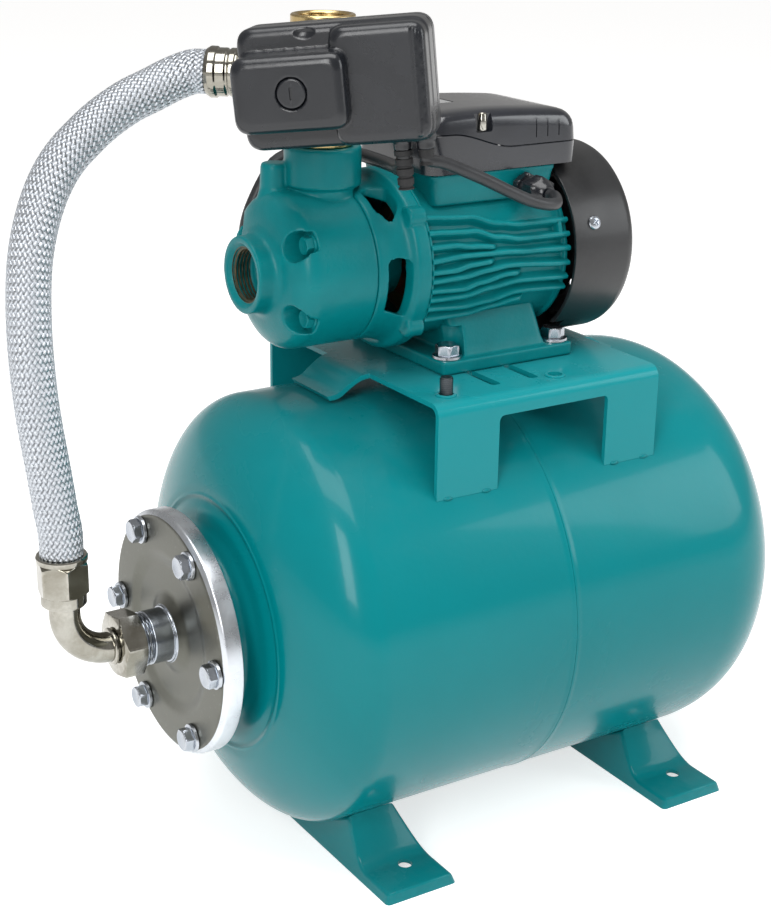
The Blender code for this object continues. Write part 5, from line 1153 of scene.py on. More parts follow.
def combined(name, base, operation, shapes, paint=None):
    """Exact Booleans of bmeshes, one after the other, kept as a plain mesh object."""
    if not isinstance(base, bpy.types.Object):
        base = put(as_mesh(base), name)
    for shape in shapes:
        tool = put(as_mesh(shape), "tool")
        step = base.modifiers.new("step", "BOOLEAN")
        step.operation, step.solver, step.object = operation, "EXACT", tool
        mesh = worked(base)
        base.modifiers.clear()
        base.data = mesh
        bpy.data.objects.remove(tool, do_unlink=True)
    base.data.name = name
    if paint:
        base.data.materials.clear()
        base.data.materials.append(paint)
    return base


def settled(made, angle):
    made.data.shade_smooth()
    made.data.set_sharp_from_angle(angle=math.radians(angle))
    return made


def peg(x, y, z, axis, radius, start, end, segs=32):
    """A round bar by a point in millimetres, from start to end along its axis."""
    return turned([(start, 0), (start, radius), (end, radius), (end, 0)], spot(x, y, z), axis, segs)


for name, stands, start in (("foot_front", "front_foot", FOOT_STARTS[0]), ("foot_rear", "rear_foot", FOOT_STARTS[1])):
    holes = [peg(start + FOOT_HOLE[0], side * FOOT_HOLE[1], 0, (0, 0, 1), FOOT_HOLE[2], 2, 14) for side in (-1, 1)]
    foot = combined(name, foot_channel(start, 0.0, 0.0, 2.6), "DIFFERENCE",
                    [foot_channel(start, FOOT_SHEET, -3.0, 0.0)] + holes, TEAL_GLOSS)
    dress(settled(foot, 32), "frame", "teal_paint", stands)


# Pump bracket: one bent sheet, its sides cut out into four legs that stand on the tank, a
# tongue rolled down at each end, slots for other pumps, and spot welds at the legs' feet.
PLATE_TOP = 304.7
PLATE_SHEET = 3.0
PLATE_ENDS = (127.8, 291.9)
PLATE_HALF = 100.2
BEND = 8.0
LEG_WIDTHS = (43.6, 39.5)
OPENING_TOP = 292.0
TONGUE_HALF = 25.0
TONGUE_DROP = ((-6, 0, 0), (0, 0, 0), (3, 0.4, 0), (6, 1.2, 0.2), (9, 2.6, 0.4), (12.5, 4.7, 0.7), (16, 7.0, 1.0),
               (19, 9.2, 1.3),
               (22, 10.6, 1.6), (25, 11.2, 1.8), (28, 11.3, 2.0))
SLOTS = ((182, 210), 3.3, (50, 82))
STUD_PLACES = ((143.3, 222.8), 84.5)
WELD_RADIUS = 1.9
WELD_SPREAD = (1.7, 0.55, 0.62, 1)
SHEET_EDGE = 0.4


def block(x0, x1, y0, y1, z0, z1, corner=0.0, flat="xy"):
    """A box in millimetres; a corner radius rounds it round Z (xy) or round Y (xz)."""
    a0, a1, b0, b1 = (x0, x1, y0, y1) if flat == "xy" else (x0, x1, z0, z1)
    outline = eased([(a0, b0), (a1, b0), (a1, b1), (a0, b1)], corner, True) if corner else [(a0, b0), (a1, b0),
                                                                                            (a1, b1), (a0, b1)]
    if flat == "xy":
        return ringed([[spot(a, b, z) for a, b in outline] for z in (z0, z1)])
    return ringed([[spot(a, y, b) for a, b in outline] for y in (y0, y1)])


def on_tank(y):
    return TANK_Z + math.sqrt(TANK_RADIUS ** 2 - y * y) + 0.3


arc = [math.radians(7.5 * k) for k in range(13)]
outer = [(PLATE_HALF, on_tank(PLATE_HALF))]
outer += [(PLATE_HALF - BEND * (1 - math.cos(a)), PLATE_TOP - BEND * (1 - math.sin(a))) for a in arc]
inside = BEND - PLATE_SHEET
inner = [(PLATE_HALF - PLATE_SHEET, on_tank(PLATE_HALF - PLATE_SHEET))]
inner += [(PLATE_HALF - BEND + inside * math.cos(a), PLATE_TOP - BEND + inside * math.sin(a)) for a in arc]
section = outer + [(-y, z) for y, z in outer[::-1]] + [(-y, z) for y, z in inner] + inner[::-1]
sheet = ringed([[spot(x, y, z) for y, z in section] for x in PLATE_ENDS])
adds = []
for way, start in ((-1, PLATE_ENDS[0]), (1, PLATE_ENDS[1])):
    rings = []
    for run, down, pull in TONGUE_DROP:
        x, half, top = start + way * run, TONGUE_HALF - run * 0.12, PLATE_TOP - down
        ring = [(x, half, top), (x, -half, top), (x - way * pull, -half, top - PLATE_SHEET),
                (x - way * pull, half, top - PLATE_SHEET)]
        rings.append([spot(*p) for p in ring])
    adds.append(ringed(rings))
cuts = [block(PLATE_ENDS[0] + LEG_WIDTHS[0], PLATE_ENDS[1] - LEG_WIDTHS[1], -115, 115, 225, OPENING_TOP, 4.0, "xz")]
for x in SLOTS[0]:
    for side in (-1, 1):
        y0, y1 = sorted((side * SLOTS[2][0], side * SLOTS[2][1]))
        cuts.append(block(x - SLOTS[1], x + SLOTS[1], y0, y1, PLATE_TOP - 6, PLATE_TOP + 3, SLOTS[1]))
for x in STUD_PLACES[0]:
    for side in (-1, 1):
        y = side * STUD_PLACES[1]
        adds.append(turned([(-1.5, 0), (-1.5, 6.3), (0.7, 6.2), (1.2, 5.8), (1.2, 0)], spot(x, y, PLATE_TOP),
                           (0, 0, 1), 40))
        cuts.append(peg(x, y, PLATE_TOP, (0, 0, 1), 4.4, -6, 3))
bracket = combined("bracket_sheet", combined("bracket_sheet", sheet, "UNION", adds), "DIFFERENCE", cuts, TEAL_GLOSS)
edge = bracket.modifiers.new("edge", "BEVEL")
edge.width, edge.segments, edge.limit_method, edge.angle_limit = SHEET_EDGE * MM, 2, "ANGLE", math.radians(50)
mesh = worked(bracket)
bracket.modifiers.clear()
bracket.data = mesh
dress(settled(bracket, 28), "frame", "teal_paint", "pump_bracket")

welds = []
for x in (PLATE_ENDS[0] + 8, PLATE_ENDS[0] + LEG_WIDTHS[0] - 8, PLATE_ENDS[1] - LEG_WIDTHS[1] + 8, PLATE_ENDS[1] - 8):
    for side in (-1, 1):
        y = side * (PLATE_HALF + 0.2)
        dot = bmesh.new()
        bmesh.ops.create_icosphere(dot, subdivisions=3, radius=WELD_RADIUS * MM)
        bmesh.ops.transform(dot, matrix=Matrix.Translation(spot(x, y * 0.999, on_tank(y) + 0.6))
                            @ Matrix.Diagonal(WELD_SPREAD),
                            verts=dot.verts)
        welds.append(dot)
piece("weld_dots", welds, TEAL_GLOSS, "frame", "teal_paint")

profile = [(-7.8, 0), (-7.8, 6.3), (-7.2, 7.4, 1), (-3.9, 7.4, 1), (-3.3, 6.3), (-3.3, 3.9), (10.4, 3.9), (11.2, 3.2),
           (11.2, 0)]
stud_base = spot(STUD_PLACES[0][0], -STUD_PLACES[1], PLATE_TOP)
stud = [turned(profile, stud_base, (0, 0, 1), 48, BOLT_FLATS),
        threaded(-2, 11.4, 3.5, 4.0, 1.25, stud_base, (0, 0, 1), segs=32)]
DARK_STEEL = plated("dark_steel", (0.030, 0.036, 0.040, 1), (0.085, 0.095, 0.105, 1), (0.26, 0.42), stud_base,
                    (0, 0, 1), 0.15,
                    (0.20, 0.21, 0.22, 1))
piece("stud_bolt", stud, DARK_STEEL, "frame", "bright_zinc", ["bracket_stud"], 30)


# Pump casing: grey iron casting in satin paint with a sand-cast grain. Suction boss in
# front, discharge collar on top, a priming boss, and four screws sunk in pockets.
CASE_PROFILE = ((54.2, 22.4, 0.4), (54.8, 23.0, 0.4), (64, 23.4, 3), (66.6, 26.5, 3), (69, 36.5, 4), (73, 43.8, 4),
                (78.5, 47.0, 3),
                (119.7, 47.0, 0.6), (119.7, 36.0), (98.5, 36.0), (98.5, 12.0), (70.0, 12.0), (69.0, 16.0),
                (57.2, 16.3), (54.3, 19.2))
COLLAR = (22.9, 20.5, 418.2, 441.0)
PRIME_BOSS = (83.5, 12.0, 8.5, 431.0)
POCKETS = (39.5, 33, 8.8)
SUCTION_THREAD = (16.4, 14.9, 2.3)
IRON_SKIN = (0.8, 4)
MOULD_SKIN = (0.6, 3)


def grain_group():
    """Sand-cast skin under paint: pits and lumps of several sizes, as a normal."""
    graph, given, result = group_tree("cast_grain", [("Scale", "Float", 420.0), ("Strength", "Float", 0.4),
                                                     ("Distance", "Float", 0.0004)],
                                      [("Normal", "Vector"), ("Value", "Float")])
    place = graph.add("ShaderNodeTexCoord").outputs["Object"]
    fine = graph.add("ShaderNodeTexNoise",
                     {"Vector": place, "Scale": given["Scale"], "Detail": 5.0, "Roughness": 0.65})
    lumps = graph.add("ShaderNodeTexNoise", {"Vector": place, "Scale": 90.0, "Detail": 2.0})
    height = graph.math("ADD", fine.outputs["Fac"], graph.math("MULTIPLY", lumps.outputs["Fac"], 1.3))
    bump = graph.add("ShaderNodeBump",
                     {"Height": height, "Strength": given["Strength"], "Distance": given["Distance"]})
    graph.link(bump.outputs[0], result.inputs["Normal"])
    graph.link(fine.outputs["Fac"], result.inputs["Value"])
    return graph.tree


CAST_GRAIN = grain_group()


def teal_cast():
    """Satin teal over castings: grainy, dusted on upward faces and in hollows, worn lighter at the edges."""
    made, graph, shader = bare_material("teal_cast")
    grain = placed(graph, CAST_GRAIN, {"Scale": 480.0, "Strength": 0.30, "Distance": 0.0005})
    smear = smears(graph, 24.0, 0.27, 0.40)
    rub = rubbed(graph, 0.53, 0.64, 300.0)
    dust = dusted(graph, 60.0, 0.12)
    shade = blend(graph, smear["Mask"], (0.0, 0.222, 0.240, 1), (0.0, 0.190, 0.208, 1))
    shade = blend(graph, graph.math("MULTIPLY", rub, 0.35), shade, TEAL_LIGHT)
    shade = blend(graph, dust, shade, (0.08, 0.22, 0.22, 1))
    graph.link(shade, shader.inputs["Base Color"])
    graph.link(graph.math("ADD", smear["Value"], graph.math("MULTIPLY", dust, 0.4)), shader.inputs["Roughness"])
    graph.link(grain["Normal"], shader.inputs["Normal"])
    shader.inputs["Specular IOR Level"].default_value = 0.18
    shader.inputs["Coat Weight"].default_value = 0.08
    shader.inputs["Coat Roughness"].default_value = 0.22
    return made


TEAL_CAST = teal_cast()


def cast(name, solids, cuts, finish, paint, body, slot, stands_for=(), sharp=None):
    """Fuses solids, cuts the cores out, and softens every edge as a mould leaves it; the
    finish is the skin's grid in millimetres and its number of smoothing passes."""
    grid, passes = finish
    made = combined(name, combined(name, solids[0], "UNION", solids[1:]), "DIFFERENCE", cuts)
    skin = made.modifiers.new("skin", "REMESH")
    skin.mode, skin.voxel_size, skin.use_smooth_shade = "VOXEL", grid * MM, True
    soft = made.modifiers.new("soft", "SMOOTH")
    soft.factor, soft.iterations = 0.5, passes
    mesh = worked(made)
    bpy.data.objects.remove(made, do_unlink=True)
    mesh.materials.clear()
    mesh.materials.append(paint)
    return dress(put(mesh, name, sharp), body, slot, *stands_for)


def taken(made):
    """The shape of a mesh object that is used up."""
    shape = bmesh.new()
    shape.from_mesh(made.data)
    bpy.data.objects.remove(made, do_unlink=True)
    return shape


shaft_axis = spot(0, 0, AXIS_Z)
up = (0, 0, 1)
pockets, bolts, turns = [], [], []
for angle in (POCKETS[1], 180 - POCKETS[1], 180 + POCKETS[1], -POCKETS[1]):
    turn = math.radians(angle)
    y, z = POCKETS[0] * math.cos(turn), AXIS_Z + POCKETS[0] * math.sin(turn)
    pockets.append(peg(0, y, z, (1, 0, 0), POCKETS[2], 60, 82.5))
    bolts.append(spot(82.4, y, z))
    turns.append(turn)
drum = combined("drum", turned(eased(CASE_PROFILE, 0.4, True), shaft_axis, segs=120), "DIFFERENCE", pockets)
solids = [taken(drum)]
wide, narrow, ledge, top = COLLAR
neck = [(400, 0), (400, narrow + 5), (406, narrow + 1.6), (412, narrow), (ledge - 1.2, narrow), (ledge, wide),
        (top - 0.9, wide),
        (top, wide - 0.9), (top, 0)]
neck = combined("neck", turned(eased(neck, 0.8), spot(DISCHARGE_X, 0, 0), up, 96), "DIFFERENCE",
                [block(119.7, 150, -40, 40, 380, 417.2)])
solids.append(taken(neck))
boss_top = PRIME_BOSS[3]
solids.append(turned([(405, 0), (405, 12), (411, 10.5), (416, 9), (boss_top - 2.4, 8.5), (boss_top - 0.6, 7.8),
                      (boss_top, 6.2),
                      (boss_top, 0)], spot(PRIME_BOSS[0], PRIME_BOSS[1], 0), up, 48))
cuts = [turned([(399, 0), (399, 8.5), (425, 8.5), (425, 17.1), (445, 17.1), (445, 0)], spot(DISCHARGE_X, 0, 0), up,
               72)]
cast("casing_shell", solids, cuts, IRON_SKIN, TEAL_CAST, "frame", "teal_cast_paint", ["pump_casing"])
bolt_set("casing_bolt_heads", bolt_head(10.0, 6.4, 5.8, 1.2, 3.0, 4.0), bolts, turns, (-1, 0, 0), TEAL_CAST, "frame",
         "teal_cast_paint", [f"casing_bolt_{k + 1}" for k in range(4)])
bore_thread = threaded(56.8, 69.0, SUCTION_THREAD[0], SUCTION_THREAD[1], SUCTION_THREAD[2], shaft_axis, bore=17.2)


def port_brown():
    """Bare tapped iron with cutting oil browned in it."""
    made, graph, shader = bare_material("tapped_iron")
    smear = smears(graph, 90.0, 0.32, 0.55)
    graph.link(blend(graph, smear["Mask"], (0.050, 0.062, 0.040, 1), (0.10, 0.075, 0.040, 1)),
               shader.inputs["Base Color"])
    graph.link(smear["Value"], shader.inputs["Roughness"])
    shader.inputs["Metallic"].default_value = 0.6
    return made


TAPPED_IRON = port_brown()
piece("suction_thread", [bore_thread], TAPPED_IRON, "frame", "core_iron", sharp=50)


# Motor bracket: the second casting, a lantern with side, top and bottom windows round the
# shaft seal, its rim and four lugs against the motor.
LANTERN = ((120.0, 46.6, 0.4), (121.0, 47.2, 0.5), (131, 47.4, 5), (139.5, 50.2, 3), (142.2, 54.2, 1.6),
           (143.5, 55.0, 1), (152, 55.0, 0.5),
           (152, 44.0), (130, 42.5), (126.5, 40.0), (126.5, 23.0), (151.5, 23.0), (151.5, 17.8), (139.5, 17.8),
           (139.5, 12.5),
           (120.0, 12.5))
LUGS = (53.5, (38, 142, 218, 322), 6.2)
SIDE_WINDOW = ((126.8, -21), (140.2, -26), (140.5, 9), (133, 11), (126.8, 9))
TOP_WINDOW = ((126.0, 14.5), (131.5, 12.0), (140.0, 20.0), (140.4, 33.0), (134.0, 37.5), (127.0, 30.0))

solids = [turned(eased(LANTERN, 0.5, True), shaft_axis, segs=120)]
cuts, bolts = [], []
for angle in LUGS[1]:
    turn = math.radians(angle)
    y, z = LUGS[0] * math.cos(turn), AXIS_Z + LUGS[0] * math.sin(turn)
    solids.append(turned([(140.2, 0), (140.2, LUGS[2] - 1.2), (141.4, LUGS[2]), (151.6, LUGS[2]), (151.6, 0)],
                         spot(0, y, z), (1, 0, 0), 40))
    bolts.append(spot(141.0, y, z))
for side in (-1, 1):
    y0, y1 = sorted((side * 30, side * 62))
    outline = eased(SIDE_WINDOW, 2.0, True)
    cuts.append(ringed([[spot(x, y, AXIS_Z + z) for x, z in outline] for y in (y0, y1)]))
    outline = eased([(x, side * y) for x, y in TOP_WINDOW], 2.0, True)
    cuts.append(ringed([[spot(x, y, z) for x, y in outline] for z in (AXIS_Z + 27, AXIS_Z + 62)]))
cuts.append(block(126.8, 140.5, -16, 16, AXIS_Z - 60, AXIS_Z - 38, 2.0))
cast("lantern_casting", solids, cuts, IRON_SKIN, TEAL_CAST, "frame", "teal_cast_paint", ["motor_bracket"])


# Motor housing: die-cast barrel whose wavy cooling fins branch, swell and run out, with a
# foot on a pedestal below and the seat of the terminal box on top. Fins grow on wires.
BARREL = (152.3, 253.7, 49.8, 46.3)
RIM_RADIUS = 54.0
FIN_RADIUS = 55.5
END_WALL = (247.5, 14.0, 22.6)
MOTOR_FOOT = (162.5, 260.5, 53.5, 8.0)
MOUNT_X, MOUNT_Y = (172.5, 253.0), 42.0
BOX_SEAT_Z = 424.0
FINS = (
    (((152, 32.5), (183, 30.5), (204, 25.0), (219, 23.0), (254, 22.5)), 254),
    (((152, 24.0), (184, 22.4), (202, 17.2), (218, 14.6), (254, 14.0)), 254),
    (((152, 15.7), (169, 15.5), (183, 13.5), (200, 11.8), (254, 9.8)), 199),
    (((152, 7.6), (175, 8.7), (200, 8.0), (227, 6.4), (254, 5.2)), 254),
    (((152, 0.8), (168, 0.6), (181, 2.6), (200, 3.4), (254, 0.8)), 197),
    (((152, -4.8), (175, -4.2), (193, -2.0), (207, -0.8), (254, -4.2)), 254),
    (((152, -10.9), (176, -12.0), (188, -9.3), (208, -6.2), (254, -8.6)), 217),
    (((152, -16.8), (177, -17.0), (196, -13.7), (215, -11.6), (254, -13.4)), 254),
    (((152, -22.8), (179, -24.5), (195, -23.0), (217, -19.0), (254, -20.6)), 254),
    (((152, -30.3), (182, -30.3), (200, -27.2), (218, -24.6), (254, -26.0)), 223),
)
FIN_SECTION = ((-4.1, -6.4), (-2.8, -5.5), (-2.1, -4.2), (-1.65, -1.6), (-1.35, -0.55), (-0.7, 0.0), (0.7, 0.0),
               (1.35, -0.55),
               (1.65, -1.6), (2.1, -4.2), (2.8, -5.5), (4.1, -6.4))


def fin_height(points, x):
    for (xa, ha), (xb, hb) in zip(points, points[1:]):
        if x <= xb:
            s = min(max((x - xa) / (xb - xa), 0), 1)
            return ha + (hb - ha) * s * s * (3 - 2 * s)
    return points[-1][1]


def fin_tree():
    """Sweeps a fin's section along each crest wire, upright on the wire's own outward arrow."""
    graph, given, result = group_tree("cooling_fins", [("Geometry", "Geometry", None), ("Section", "Object", None),
                                                       ("Paint", "Material", None)], [("Geometry", "Geometry")],
                                      "GeometryNodeTree")
    crest = graph.add("GeometryNodeMeshToCurve", {"Mesh": given["Geometry"]}).outputs[0]
    outward = graph.add("GeometryNodeInputNamedAttribute", {"Name": "outward"}, data_type="FLOAT_VECTOR").outputs[0]
    crest = graph.add("GeometryNodeSetCurveNormal", {"Curve": crest, "Normal": outward}, mode="FREE").outputs[0]
    source = graph.add("GeometryNodeObjectInfo", {"Object": given["Section"]}).outputs["Geometry"]
    section = graph.add("GeometryNodeMeshToCurve", {"Mesh": source}).outputs[0]
    fins = graph.add("GeometryNodeCurveToMesh",
                     {"Curve": crest, "Profile Curve": section, "Fill Caps": True}).outputs[0]
    fins = graph.add("GeometryNodeRealizeInstances", {"Geometry": fins}).outputs[0]
    fins = graph.add("GeometryNodeSetMaterial", {"Geometry": fins, "Material": given["Paint"]}).outputs[0]
    graph.link(fins, result.inputs[0])
    return graph


def crest_line(side, points, end):
    """One fin's crest: it sinks into the barrel where the fin runs out."""
    line, arrows = [], []
    last = min(end + 5, BARREL[1] - 0.2)
    for k in range(64):
        x = BARREL[0] + 0.2 + (last - BARREL[0] - 0.2) * k / 63
        sink = min(max((x - end + 4) / 9, 0), 1) if end < 250 else 0
        radius = FIN_RADIUS - 6.2 * sink * sink * (3 - 2 * sink)
        lift = fin_height(points, x) / FIN_RADIUS
        y, z = side * math.sqrt(1 - lift * lift), lift
        line.append(spot(x, y * radius, AXIS_Z + z * radius))
        arrows.append((0, y, z))
    return line, arrows


lines, arrows = [], []
for side in (-1, 1):
    for points, end in FINS:
        line, out = crest_line(side, points, end)
        lines.append(line)
        arrows += out
    line = []
    for k in range(25):
        turn = math.asin((END_WALL[1] + (END_WALL[2] - END_WALL[1]) * k / 24) / FIN_RADIUS)
        out = Vector((0, side * math.cos(turn), math.sin(turn)))
        line.append(shaft_axis + Vector((END_WALL[0] * MM, 0, 0)) + out * (FIN_RADIUS - 0.2) * MM)
        arrows.append(tuple(out))
    lines.append(line)
crests = wire("fin_crests", lines)
held = crests.data.attributes.new("outward", "FLOAT_VECTOR", "POINT")
for i, arrow in enumerate(arrows):
    held.data[i].vector = arrow
section_mesh = bpy.data.meshes.new("fin_section")
count = len(FIN_SECTION)
section_mesh.from_pydata([(b * MM, a * MM, 0) for a, b in FIN_SECTION], [(i, (i + 1) % count) for i in range(count)],
                         [])
section = bpy.data.objects.new("fin_section", section_mesh)
bpy.context.scene.collection.objects.link(section)
fins = grown(crests, fin_tree(), {"Section": section, "Paint": TEAL_CAST}, "wavy_fins", 60)
bpy.data.objects.remove(section, do_unlink=True)
dress(fins, "frame", "teal_cast_paint")

x0, x1, base_r, bore_r = BARREL
profile = [(x0, base_r + 3.6, 0.4), (x0 + 0.2, RIM_RADIUS), (x0 + 1.6, RIM_RADIUS, 0.5), (x0 + 3.4, base_r, 1.5),
           (x1 - 3.0, base_r, 1.0),
           (x1 - 2.0, base_r + 2.2, 0.6), (x1, base_r + 2.2, 0.4), (x1, bore_r), (x0, bore_r)]
piece("motor_barrel", [turned(eased(profile, 0.3, True), shaft_axis, segs=180)], TEAL_CAST, "frame", "teal_cast_paint",
      ["motor_housing"], 35)

foot_z = PLATE_TOP + 0.3
fx0, fx1, fy, ft = MOTOR_FOOT
solids = [block(fx0, fx1, -fy, fy, foot_z, foot_z + ft, 3.0)]
rings = []
for z, xa, xb, y in ((foot_z + 4, 178.0, 244.6, 48.6), (foot_z + 9, 178.6, 243.6, 47.6),
                     (foot_z + 13, 177.6, 242.2, 46.0),
                     (AXIS_Z - 30, 173.0, 238.5, 40.0)):
    rings.append([spot(a, b, z) for a, b in eased([(xa, -y), (xb, -y), (xb, y), (xa, y)], 4.0, True)])
solids.append(ringed(rings))
cuts = [turned([(140, 0), (140, 48.0), (270, 48.0), (270, 0)], shaft_axis, segs=96)]
bolts, turns = [], []
for x in MOUNT_X:
    for side in (-1, 1):
        cuts.append(peg(x, side * MOUNT_Y, foot_z, up, 10.6, ft - 0.2, 26))
        bolts.append(spot(x, side * MOUNT_Y, foot_z + ft - 0.1))
        turns.append(0.2 * len(bolts))
cast("motor_foot", solids, cuts, IRON_SKIN, TEAL_CAST, "frame", "teal_cast_paint")
rings = []
for z, grow in ((AXIS_Z + 36, -3.0), (BOX_SEAT_Z - 5, -1.2), (BOX_SEAT_Z - 2.5, -0.4), (BOX_SEAT_Z - 0.5, 0.0),
                (BOX_SEAT_Z, -0.5)):
    outline = [(160 - grow, -41 - grow), (251.5 + grow, -41 - grow), (251.5 + grow, 41 + grow),
               (160 - grow, 41 + grow)]
    rings.append([spot(a, b, z) for a, b in eased(outline, 6.0, True)])
seat = turned([(150, 0), (150, 48.0), (270, 48.0), (270, 0)], shaft_axis, segs=96)
cast("box_seat", [ringed(rings)], [seat], IRON_SKIN, TEAL_CAST, "frame", "teal_cast_paint")

washer = bolt_head(BOLT_FLATS, 9.2, 8.4, 2.2, 4.0, 5.0)
bolt_set("foot_bolt_heads", washer, bolts, turns, (0, 0, 1), BRIGHT_ZINC, "frame", "bright_zinc",
         [f"foot_bolt_{k + 1}" for k in range(4)])


# Terminal box: an injection-moulded frame on the casting and a lid over it, parted along a
# wave, with a clip in the lid's near side and a bare plate let into its top.
BOX = (157.0, 267.2, 42.0)
BOX_CORNER = 10.0
BOX_WALL = 2.0
LID_TOP = 462.0
FAN_COVER_RADIUS = 60.7
CLIP = (189.0, 201.0, 447.5, 461.0)
CLIP_LINES = (233.5, 242.0, 250.5)
BARE_PLATE = (166.0, 196.0, 7.0)


def parting(x):
    s = min(max((x - 172) / 45, 0), 1)
    return 447.5 - 10.0 * s * s * (3 - 2 * s)


def frame_foot(x, y):
    """The frame's lower edge: on the casting, then arched clear over the fan cover."""
    if x < BOX[1] - 14:
        return BOX_SEAT_Z + 0.3
    return max(BOX_SEAT_Z + 0.3, AXIS_Z + math.sqrt(max(FAN_COVER_RADIUS ** 2 - y * y, 0)) + 1.2)


def lid_top(x):
    s = (x - BOX[0]) / (BOX[1] - BOX[0])
    return LID_TOP - 6.0 * s * s - 3.0 * (1 - s) ** 4


def box_outline(inset, lean=0.0):
    """Plan of the box as dense points, the ends leaning in a little more than the sides."""
    x0, x1, half = BOX[0] + inset + lean * 0.6, BOX[1] - inset - lean, BOX[2] - inset - lean * 0.5
    corner = max(BOX_CORNER - inset, 1.0)
    out = []
    for cx, cy, start in ((x1 - corner, half - corner, 0), (x0 + corner, half - corner, 90),
                          (x0 + corner, corner - half, 180),
                          (x1 - corner, corner - half, 270)):
        for k in range(11):
            turn = math.radians(start + 9 * k)
            out.append((cx + corner * math.cos(turn), cy + corner * math.sin(turn)))
    dense = []
    for i, (x, y) in enumerate(out):
        nx, ny = out[(i + 1) % len(out)]
        dense.append((x, y))
        if math.hypot(nx - x, ny - y) > 8:
            dense += [(x + (nx - x) * k / 32, y + (ny - y) * k / 32) for k in range(1, 32)]
    return dense


def box_ring(inset, height, lean=0.0):
    return [spot(x, y, height(x, y)) for x, y in box_outline(inset, lean)]


def black_moulding(name, dark, light, gloss, grain, sheen=0.0):
    """Injection-moulded black: spark-eroded grain, handling marks, light scuffs at edges."""
    made, graph, shader = bare_material(name)
    skin = placed(graph, CAST_GRAIN, {"Scale": 1500.0, "Strength": grain, "Distance": 0.0002})
    smear = smears(graph, 20.0, gloss[0], gloss[1])
    rub = rubbed(graph, 0.54, 0.66, 350.0)
    dust = dusted(graph, 70.0, 0.14)
    shade = blend(graph, smear["Mask"], dark, light)
    shade = blend(graph, graph.math("MULTIPLY", rub, 0.35), shade, (0.05, 0.052, 0.058, 1))
    shade = blend(graph, dust, shade, (0.08, 0.08, 0.08, 1))
    graph.link(shade, shader.inputs["Base Color"])
    graph.link(graph.math("ADD", smear["Value"], graph.math("MULTIPLY", dust, 0.3)), shader.inputs["Roughness"])
    graph.link(skin["Normal"], shader.inputs["Normal"])
    shader.inputs["Coat Weight"].default_value = sheen
    shader.inputs["Coat Roughness"].default_value = 0.16
    return made


BOX_BLACK = black_moulding("box_black", (0.010, 0.012, 0.018, 1), (0.018, 0.021, 0.030, 1), (0.18, 0.27), 0.06, 0.60)
COVER_BLACK = black_moulding("cover_black", (0.0075, 0.0090, 0.0125, 1), (0.0125, 0.0145, 0.0190, 1), (0.22, 0.31),
                             0.08, 0.15)
low = BOX_WALL
rings = [box_ring(0, frame_foot), box_ring(0, lambda x, y: parting(x) - 0.5),
         box_ring(0.35, lambda x, y: parting(x) - 0.15),
         box_ring(low, lambda x, y: parting(x) - 0.15), box_ring(low, frame_foot)]
piece("terminal_frame_wall", [ringed(rings, closed=True)], BOX_BLACK, "frame", "black_plastic", ["terminal_frame"], 40)

rings = [box_ring(low, lambda x, y: parting(x) + 0.15), box_ring(0.35, lambda x, y: parting(x) + 0.15),
         box_ring(0, lambda x, y: parting(x) + 0.5)]
for inset, drop, lean in ((0, 11.0, 0.6), (0, 9.0, 1.0), (0.1, 6.8, 1.6), (0.5, 4.6, 2.6), (1.2, 2.8, 3.8),
                          (2.2, 1.5, 5.2), (3.6, 0.7, 7.2),
                          (5.4, 0.25, 9.6), (7.0, 0.0, 12.0), (9.0, 0, 16), (11.0, 0, 22), (14, 0, 30), (18, 0, 36)):
    rings.append(box_ring(inset, lambda x, y: lid_top(x) - drop, lean))
lid = ringed(rings)
cuts = [block(CLIP[0], CLIP[1], -50, -38.6, CLIP[2], CLIP[3], 1.6, "xz")]
cuts += [block(x - 0.35, x + 0.35, -45, -40.9, 441.5, 453.0) for x in CLIP_LINES]
cuts.append(block(BARE_PLATE[0] - 0.6, BARE_PLATE[1] + 0.6, -BARE_PLATE[2] - 0.6, BARE_PLATE[2] + 0.6, 459.8, 466,
                  1.5))
lid = settled(combined("terminal_cover", lid, "DIFFERENCE", cuts, BOX_BLACK), 38)
dress(lid, "terminal_lid_body", "black_plastic", "terminal_lid")


def bare_strip():
    """A plain anodised plate: pale, brushed along its length, no marks on it."""
    made, graph, shader = bare_material("bare_plate")
    place = graph.add("ShaderNodeTexCoord").outputs["Object"]
    long = graph.add("ShaderNodeMapping", {"Vector": place, "Scale": (20.0, 2600.0, 2600.0)}).outputs[0]
    brush = graph.add("ShaderNodeTexNoise", {"Vector": long, "Scale": 1.0, "Detail": 3.0})
    smear = smears(graph, 60.0, 0.28, 0.42)
    graph.link(blend(graph, brush.outputs["Fac"], (0.60, 0.61, 0.62, 1), (0.80, 0.81, 0.82, 1)),
               shader.inputs["Base Color"])
    graph.link(smear["Value"], shader.inputs["Roughness"])
    shader.inputs["Metallic"].default_value = 0.7
    return made


BARE = bare_strip()
outline = eased([(BARE_PLATE[0], -BARE_PLATE[2]), (BARE_PLATE[1], -BARE_PLATE[2]), (BARE_PLATE[1], BARE_PLATE[2]),
                 (BARE_PLATE[0], BARE_PLATE[2])], 1.2, True)
rings = [[spot(x, y, z(x)) for x, y in outline] for z in (lambda x: 459.6, lambda x: lid_top(x) - 0.25)]
piece("lid_plate", [ringed(rings)], BARE, "terminal_lid_body", "bright_zinc", sharp=35)
clip = turned([(0, 0), (0, 2.6), (0.8, 3.1), (9.6, 2.7), (10.6, 1.8), (10.6, 0)],
              spot(CLIP[0] + 6.2, -38.6, CLIP[2] + 0.6), (0, 0, 1), 48)
piece("lid_clip", [clip], NICKEL, "terminal_lid_body", "bright_zinc", sharp=40)


